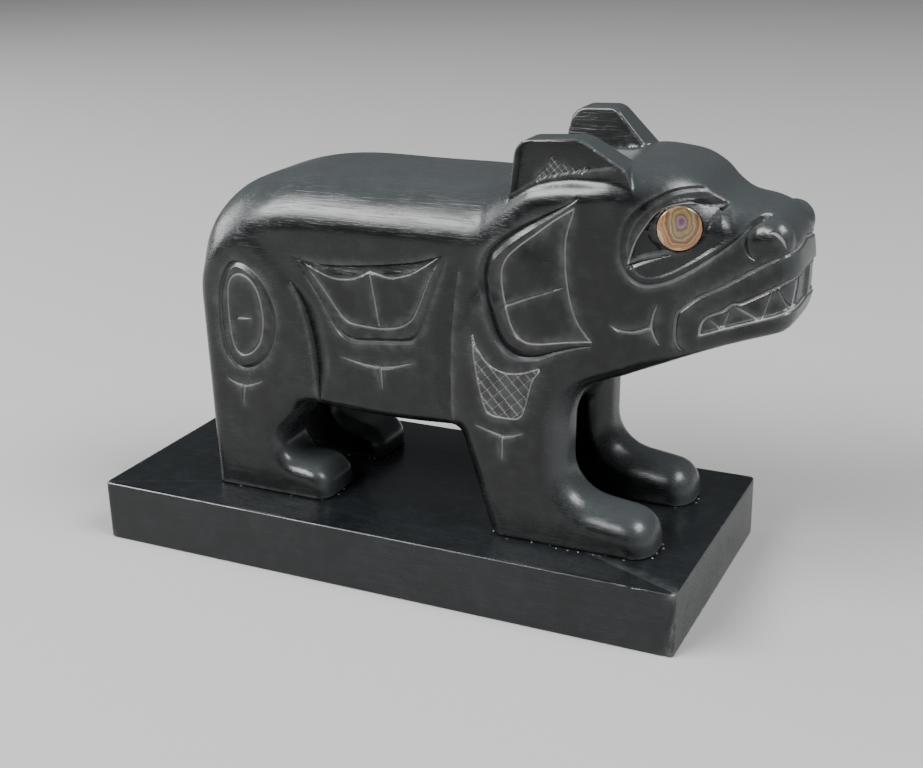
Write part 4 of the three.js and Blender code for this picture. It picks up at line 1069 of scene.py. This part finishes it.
def disc_points(side):
    """The rings of a disc on one side of the head, its axis pointing out of the eye."""
    rim = DISC["radius"] - DISC["ease"]
    profile = [(DISC["radius"] - 0.1, DISC["face"] - DISC["thickness"]), (DISC["radius"], DISC["face"] - DISC["thickness"] + 0.1)]
    for t in np.radians([0, 30, 60]):
        profile.append((rim + DISC["ease"] * math.cos(t), DISC["face"] - DISC["ease"] * (1 - math.sin(t))))
    for share in (0, 0.2, 0.4, 0.6, 0.8):
        profile.append((rim * (1 - share), DISC["face"] + DISC["dome"] * (1 - (1 - share) ** 2)))
    turns = np.arange(DISC_SIDES) * math.tau / DISC_SIDES
    rings = [np.stack([r * np.cos(turns), np.full(DISC_SIDES, h), r * np.sin(turns)], 1) for r, h in profile]
    middles = [[[0, DISC["face"] - DISC["thickness"], 0], [0, DISC["face"] + DISC["dome"], 0]]]
    flat = np.concatenate(rings + middles)
    c, s = math.cos(DISC["turn"]), math.sin(DISC["turn"])
    x, y, z = flat.T
    place = np.stack([c * x + s * y, -s * x + c * y, z], 1) + DISC["centre"]
    return place * (1, side, 1), len(profile)


for side, node in ((-1, "eye_inlay_right"), (1, "eye_inlay_left")):
    places, rows = disc_points(side)
    here = (np.arange(rows - 1)[:, None] * DISC_SIDES + np.arange(DISC_SIDES)).ravel()
    ahead = (np.arange(rows - 1)[:, None] * DISC_SIDES + (np.arange(DISC_SIDES) + 1) % DISC_SIDES).ravel()
    last, first = (rows - 1) * DISC_SIDES + np.arange(DISC_SIDES), np.arange(DISC_SIDES)
    back, front = len(places) - 2, len(places) - 1
    faces = np.concatenate([
        np.stack([here, ahead + DISC_SIDES, ahead], 1), np.stack([here, here + DISC_SIDES, ahead + DISC_SIDES], 1),
        np.stack([np.roll(last, -1), last, np.full(DISC_SIDES, front)], 1),
        np.stack([first, np.roll(first, -1), np.full(DISC_SIDES, back)], 1)])
    disc = mesh_object(node.replace("eye_inlay", "shell_disc"), places + [0, 0, SOLE], faces if side > 0 else faces[:, ::-1])
    dress(disc, node, "eye_inlay")
    print(disc.name, len(faces), "triangles")
# %% [markdown]
# ## Glue
# The bear's soles are glued down, and beads of clear glue squeezed out along the feet. They follow the line round each
# sole, so the line is worked out here, and a Geometry Nodes tree spreads beads of random size along it.

# %% Lines round the soles
FEET = {"fore": (40, 15), "hind": (-33, 14)}


def sole_line(x, y, height=0.35, count=90):
    """A closed line round the foot that holds the place x, y, just over the slab."""
    turns = np.arange(count) * math.tau / count
    out = np.stack([np.cos(turns), np.sin(turns), np.zeros(count)], 1)
    low, high = np.zeros(count), np.full(count, 35.0)
    for _ in range(18):
        middle = (low + high) / 2
        inside = stone(np.array([x, y, height]) + out * middle[:, None]) < 0
        low, high = np.where(inside, middle, low), np.where(inside, high, middle)
    return np.array([x, y, 0]) + out * high[:, None] + [0, 0, SLAB_TOP]


sole_lines = [sole_line(x, side * y) for x, y in FEET.values() for side in (-1, 1)]
print("soles", [tuple((line.max(0) - line.min(0)).round(1)[:2]) for line in sole_lines])

# %% Beads along a line
def tree_input(tree, name, kind, default):
    socket = tree.interface.new_socket(name, in_out="INPUT", socket_type=kind)
    socket.default_value = default
    return socket.identifier


def add_node(tree, kind, inputs=(), **settings):
    """A node with its settings, and its inputs by name or place, each a value or another node's output."""
    made = tree.nodes.new(kind)
    for name, value in settings.items():
        setattr(made, name, value)
    for name, value in dict(inputs).items():
        if isinstance(value, bpy.types.NodeSocket):
            tree.links.new(value, made.inputs[name])
        else:
            made.inputs[name].default_value = value
    return made


def bead_tree(material):
    """A tree that sets beads of glue along the edges of its mesh. Returns it and its inputs' identifiers."""
    tree = bpy.data.node_groups.new("glue beads", "GeometryNodeTree")
    tree.interface.new_socket("Geometry", in_out="INPUT", socket_type="NodeSocketGeometry")
    names = {"spacing": tree_input(tree, "Spacing", "NodeSocketFloat", 0.0008),
             "size": tree_input(tree, "Bead size", "NodeSocketFloat", 0.0003),
             "share": tree_input(tree, "Share kept", "NodeSocketFloat", 0.5),
             "seed": tree_input(tree, "Seed", "NodeSocketInt", 0)}
    tree.interface.new_socket("Geometry", in_out="OUTPUT", socket_type="NodeSocketGeometry")
    given = tree.nodes.new("NodeGroupInput")
    line = add_node(tree, "GeometryNodeMeshToCurve", {"Mesh": given.outputs["Geometry"]})
    spots = add_node(tree, "GeometryNodeResampleCurve", {"Curve": line.outputs[0], "Length": given.outputs["Spacing"]},
                     mode="LENGTH")
    seed = given.outputs["Seed"]
    chance = add_node(tree, "FunctionNodeRandomValue", {"Seed": seed}, data_type="FLOAT")
    kept = add_node(tree, "FunctionNodeCompare", {"A": chance.outputs[1], "B": given.outputs["Share kept"]},
                    data_type="FLOAT", operation="LESS_THAN")
    jitter = add_node(tree, "FunctionNodeRandomValue", {0: (-0.0006, -0.0006, 0), 1: (0.0006, 0.0006, 0), "Seed": seed},
                      data_type="FLOAT_VECTOR")
    spread = add_node(tree, "GeometryNodeSetPosition", {"Geometry": spots.outputs[0], "Offset": jitter.outputs[0]})
    bead = add_node(tree, "GeometryNodeMeshIcoSphere", {"Radius": given.outputs["Bead size"], "Subdivisions": 2})
    size = add_node(tree, "FunctionNodeRandomValue", {0: (0.5, 0.5, 0.3), 1: (1.7, 1.3, 0.8), "Seed": seed},
                    data_type="FLOAT_VECTOR")
    turn = add_node(tree, "FunctionNodeRandomValue", {0: (0, 0, 0), 1: (0, 0, math.tau), "Seed": seed},
                    data_type="FLOAT_VECTOR")
    beads = add_node(tree, "GeometryNodeInstanceOnPoints", {
        "Points": spread.outputs[0], "Selection": kept.outputs[0], "Instance": bead.outputs[0],
        "Rotation": turn.outputs[0], "Scale": size.outputs[0]})
    real = add_node(tree, "GeometryNodeRealizeInstances", {"Geometry": beads.outputs[0]})
    finished = add_node(tree, "GeometryNodeSetMaterial", {"Geometry": real.outputs[0], "Material": material})
    add_node(tree, "NodeGroupOutput", {0: finished.outputs[0]})
    return tree, names


# %% [markdown]
# ## Finishes
# Argillite is a black clay stone. It is rubbed with ever finer abrasive and never lacquered, so it has a soft shine,
# fine scratches along the strokes, a slate-grey bloom in random patches, and pale grey stone wherever a tool
# or a knock has just cut it. Faces that look up or towards the bear's front get more of the bloom colour, which is
# painted light from the soft boxes, and edges that stand out are pale from wear and from a painted highlight.
# The noise and scratches are read at the place on the stone, in metres.

# %% Tools for finishes
def new_finish(name):
    material = bpy.data.materials.new(name)
    material.use_nodes = True
    tree = material.node_tree
    return material, tree, tree.nodes["Principled BSDF"]


def place_on(tree, scale, turn=(0, 0, 0), start=(0, 0, 0)):
    """The place on the piece, drawn out along its axes."""
    place = add_node(tree, "ShaderNodeTexCoord")
    return add_node(tree, "ShaderNodeMapping", {"Vector": place.outputs["Object"], "Location": start, "Rotation": turn,
                                               "Scale": scale}).outputs[0]


def noise_at(tree, vector, scale=1.0, detail=3.0, rough=0.6, warp=0.0):
    return add_node(tree, "ShaderNodeTexNoise", {"Vector": vector, "Scale": scale, "Detail": detail,
                                                 "Roughness": rough, "Distortion": warp}).outputs["Fac"]


def from_to(tree, value, low, high, first=0.0, last=1.0):
    """A value between low and high brought to first..last, and held there outside."""
    return add_node(tree, "ShaderNodeMapRange", {"Value": value, "From Min": low, "From Max": high, "To Min": first,
                                                 "To Max": last}, interpolation_type="SMOOTHSTEP").outputs[0]


def sum_of(tree, first, second, operation="ADD"):
    return add_node(tree, "ShaderNodeMath", {0: first, 1: second}, operation=operation).outputs[0]


def colour_between(tree, share, first, second):
    made = add_node(tree, "ShaderNodeMix", {0: share, 6: first, 7: second}, data_type="RGBA")
    return made.outputs[2]


# %% The stone
def argillite(name, shade, bloom_and_painted_light, cut_grey, painted_light_share, fresh_cuts, strokes):
    """Polished argillite: its own shade, the slate bloom on it, painted light on faces that look up or forwards, and
    the grey of fresh cuts and of edges that are rubbed and painted as highlights.
    """
    material, tree, shader = new_finish(name)
    cloud = noise_at(tree, place_on(tree, (1, 1, 1)), 38, 5, 0.62, 0.4)
    mottle = noise_at(tree, place_on(tree, (1, 1, 1), start=(3, 1, 2)), 260, 4, 0.65)
    scratches = None
    for turn in strokes:
        lines = noise_at(tree, place_on(tree, (90, 2600, 2600), turn), 1, 3, 0.7)
        thin = from_to(tree, lines, 0.52, 0.76)
        scratches = thin if scratches is None else sum_of(tree, scratches, thin, "MAXIMUM")
    patchy = sum_of(tree, scratches, from_to(tree, cloud, 0.35, 0.6, 0.25, 1), "MULTIPLY")
    # Painted light: faces that look up or towards the bear's front are lightened towards the bloom colour, standing in
    # for the soft boxes above and in front.
    facing = add_node(tree, "ShaderNodeSeparateXYZ", {0: add_node(tree, "ShaderNodeNewGeometry").outputs["Normal"]})
    painted_light_up, painted_light_front = (from_to(tree, facing.outputs[axis], 0.15, 0.95, 0, painted_light_share) for axis in ("Z", "X"))
    tone = sum_of(tree, from_to(tree, cloud, 0.4, 0.75, 0, 0.12), sum_of(tree, patchy, 0.22, "MULTIPLY"))
    tone = sum_of(tree, tone, sum_of(tree, painted_light_up, painted_light_front))
    tone = sum_of(tree, tone, from_to(tree, mottle, 0.42, 0.7, 0, 0.12))
    colour = colour_between(tree, tone, shade, bloom_and_painted_light)
    # Edges that stand out are mixed towards the cut grey: wear, and a painted highlight along the rims.
    rubbed = add_node(tree, "ShaderNodeAttribute", attribute_name="rubbed").outputs["Fac"]
    pale = sum_of(tree, rubbed, from_to(tree, mottle, 0.3, 0.62, 0.3, 0.85), "MULTIPLY")
    if fresh_cuts:
        cut_share = add_node(tree, "ShaderNodeAttribute", attribute_name="fresh_cut").outputs["Fac"]
        dusty = sum_of(tree, from_to(tree, cut_share, 0.18, 0.68), from_to(tree, mottle, 0.3, 0.6, 0.7, 1), "MULTIPLY")
        pale = sum_of(tree, sum_of(tree, pale, 0.35, "MULTIPLY"), dusty, "MAXIMUM")
    colour = colour_between(tree, pale, colour, cut_grey)
    tree.links.new(colour, shader.inputs["Base Color"])
    gloss = sum_of(tree, from_to(tree, cloud, 0.3, 0.7, 0.2, 0.28), sum_of(tree, patchy, 0.1, "MULTIPLY"))
    gloss = sum_of(tree, gloss, from_to(tree, pale, 0, 1, 0, 0.25))
    tree.links.new(gloss, shader.inputs["Roughness"])
    height = sum_of(tree, sum_of(tree, mottle, 0.6, "MULTIPLY"), sum_of(tree, patchy, -0.5, "MULTIPLY"))
    bump = add_node(tree, "ShaderNodeBump", {"Strength": 0.4, "Distance": 0.0001, "Height": height})
    tree.links.new(bump.outputs[0], shader.inputs["Normal"])
    shader.inputs["IOR"].default_value = 1.5
    shader.inputs["Specular IOR Level"].default_value = 0.4
    return material


# The 0.85 and 0.08 say how strongly each stone's up- and forward-facing faces are painted lighter, as painted light.
bear_stone = argillite("argillite of the bear", (0.0018, 0.002, 0.0022, 1), (0.038, 0.043, 0.045, 1),
                       (0.25, 0.255, 0.25, 1), 0.85, True, ((0, 0, 0.25), (0, 0.5, 1.3)))
slab_stone = argillite("argillite of the slab", (0.0035, 0.0044, 0.005, 1), (0.026, 0.031, 0.034, 1),
                       (0.35, 0.36, 0.36, 1), 0.08, False, ((0, 0, 0.04), (0.6, 0.3, 0.5)))
bear.data.materials.append(bear_stone)
slab.data.materials.append(slab_stone)
print("stone finishes ready")

# %% [markdown]
# ## Abalone
# Abalone shell grew in thin layers, and a disc cut through them shows nested bands of tan, gold, pink and silver round a
# purple spot. The bands are one colour ramp over the warped distance from that spot, which lies above the middle.

# %% The shell
SHELL_BANDS = [(0, (0.05, 0.02, 0.05)), (0.12, (0.13, 0.05, 0.11)), (0.2, (0.2, 0.13, 0.15)), (0.27, (0.08, 0.055, 0.03)),
               (0.34, (0.3, 0.21, 0.09)), (0.41, (0.12, 0.08, 0.035)), (0.48, (0.24, 0.19, 0.11)), (0.55, (0.2, 0.1, 0.05)),
               (0.62, (0.1, 0.04, 0.02)), (0.68, (0.33, 0.18, 0.06)), (0.78, (0.22, 0.11, 0.045)), (0.86, (0.4, 0.21, 0.12)),
               (1, (0.5, 0.38, 0.24))]
SPOT = {"x": 0.0004, "z": 0.0017}
shell, tree, shader = new_finish("abalone")
middle = (-DISC["centre"][0] * MM - SPOT["x"], 0, -(DISC["centre"][2] + SOLE) * MM - SPOT["z"])
flat = place_on(tree, (1.25, 0, 0.9), start=(1.25 * middle[0], 0, 0.9 * middle[2]))
wander = noise_at(tree, place_on(tree, (1, 1, 1)), 260, 3, 0.6)
far = add_node(tree, "ShaderNodeVectorMath", {0: flat}, operation="LENGTH").outputs["Value"]
ripple = sum_of(tree, from_to(tree, wander, 0.25, 0.75, -0.0005, 0.0005), far)
layers = from_to(tree, ripple, 0, 0.0064)
layers.node.interpolation_type = "LINEAR"
ramp = add_node(tree, "ShaderNodeValToRGB", {0: layers})
while len(ramp.color_ramp.elements) < len(SHELL_BANDS):
    ramp.color_ramp.elements.new(0.5)
for element, (place, colour) in zip(ramp.color_ramp.elements, SHELL_BANDS):
    element.position = place
for element, (place, colour) in zip(ramp.color_ramp.elements, SHELL_BANDS):
    element.color = (*colour, 1)
rings = add_node(tree, "ShaderNodeMath", {0: sum_of(tree, ripple, 9500, "MULTIPLY")}, operation="SINE").outputs[0]
threads = sum_of(tree, rings, noise_at(tree, place_on(tree, (1, 1, 1)), 900, 3, 0.6), "MULTIPLY")
colour = colour_between(tree, from_to(tree, threads, 0.1, 0.5, 0, 0.7), ramp.outputs[0], (0.11, 0.07, 0.045, 1))
tree.links.new(colour, shader.inputs["Base Color"])
bump = add_node(tree, "ShaderNodeBump", {"Strength": 0.4, "Distance": 0.00003, "Height": threads})
tree.links.new(bump.outputs[0], shader.inputs["Normal"])
shader.inputs["Roughness"].default_value = 0.24
shader.inputs["Metallic"].default_value = 0.25
shader.inputs["Coat Weight"].default_value = 0.5
shader.inputs["Coat Roughness"].default_value = 0.12
for disc in bpy.data.objects:
    if disc.name.startswith("shell_disc"):
        disc.data.materials.append(shell)
print("shell bands", len(SHELL_BANDS))

# %% Glue beads
clear_glue, tree, shader = new_finish("dried glue")
speck = noise_at(tree, place_on(tree, (1, 1, 1)), 700, 2)
tree.links.new(colour_between(tree, from_to(tree, speck, 0.35, 0.65), (0.05, 0.05, 0.045, 1), (0.3, 0.28, 0.24, 1)),
               shader.inputs["Base Color"])
tree.links.new(from_to(tree, speck, 0.3, 0.7, 0.08, 0.3), shader.inputs["Roughness"])
shader.inputs["IOR"].default_value = 1.48

lines = bpy.data.meshes.new("sole lines")
count = len(sole_lines[0])
edges = [(start + i, start + (i + 1) % count) for start in range(0, len(sole_lines) * count, count) for i in range(count)]
lines.from_pydata((np.concatenate(sole_lines) * MM).tolist(), edges, [])
holder = bpy.data.objects.new("sole_lines", lines)
bpy.context.scene.collection.objects.link(holder)
beads_tree, names = bead_tree(clear_glue)
modifier = holder.modifiers.new("beads", "NODES")
modifier.node_group = beads_tree
for name, value in (("spacing", 0.0006), ("size", 0.00022), ("share", 0.12), ("seed", 7)):
    modifier[names[name]] = value
evaluated = holder.evaluated_get(bpy.context.evaluated_depsgraph_get())
glue = bpy.data.objects.new("glue_beads", bpy.data.meshes.new_from_object(evaluated))
bpy.context.scene.collection.objects.link(glue)
holder.modifiers.remove(modifier)
bpy.data.objects.remove(holder)
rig.ride(glue, "root")
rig.slot(glue, "bear")
print("glue", len(glue.data.polygons), "faces")

# %% [markdown]
# ## Floor and light
# Black stone shows its form only by what it reflects. One large soft box hangs above and behind the bear's tail and draws
# the long highlights on its back and brow, a wide weak one in front lifts the face and the slab's end, and the pale
# floor fills the rest.

# %% Floor and light
floor = bpy.data.meshes.new("floor")
floor.from_pydata([(-3, -3, 0), (3, -3, 0), (3, 3, 0), (-3, 3, 0)], [], [(0, 1, 2, 3)])
floor = bpy.data.objects.new("floor", floor)
bpy.context.scene.collection.objects.link(floor)
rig.stage(floor)
paper, tree, shader = new_finish("pale paper")
grain = noise_at(tree, place_on(tree, (1, 1, 1)), 900, 2)
tree.links.new(colour_between(tree, grain, (0.38, 0.38, 0.375, 1), (0.41, 0.41, 0.405, 1)), shader.inputs["Base Color"])
shader.inputs["Roughness"].default_value = 0.75
floor.data.materials.append(paper)

world = bpy.data.worlds.new("world")
bpy.context.scene.world = world
world.use_nodes = True
world.node_tree.nodes["Background"].inputs["Color"].default_value = (0.8, 0.83, 0.86, 1)
world.node_tree.nodes["Background"].inputs["Strength"].default_value = 0.16


def soft_box(name, place, aim, width, height, power):
    lamp = bpy.data.lights.new(name, "AREA")
    lamp.shape, lamp.size, lamp.size_y, lamp.energy = "RECTANGLE", width, height, power
    made = bpy.data.objects.new(name, lamp)
    bpy.context.scene.collection.objects.link(made)
    made.location = place
    made.rotation_euler = (Vector(aim) - Vector(place)).to_track_quat("-Z", "Y").to_euler()
    return made


soft_box("overhead", (-0.78, -0.96, 1.08), (0, 0, 0.06), 1.4, 0.5, 58)
soft_box("front", (0.98, -0.15, 1.2), (0.02, 0, 0.06), 0.8, 0.6, 30)
soft_box("tail", (-1.2, 0.02, 0.4), (-0.05, 0, 0.06), 0.6, 0.4, 7)
print("lights", [lamp.name for lamp in bpy.data.objects if lamp.type == "LIGHT"])

# %% Finish
with open("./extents.json", "w") as f:
    json.dump({"before": [list(c) for c in size_before], "after": [list(c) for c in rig.bounds()]}, f)
print("size", json.load(open("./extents.json")))
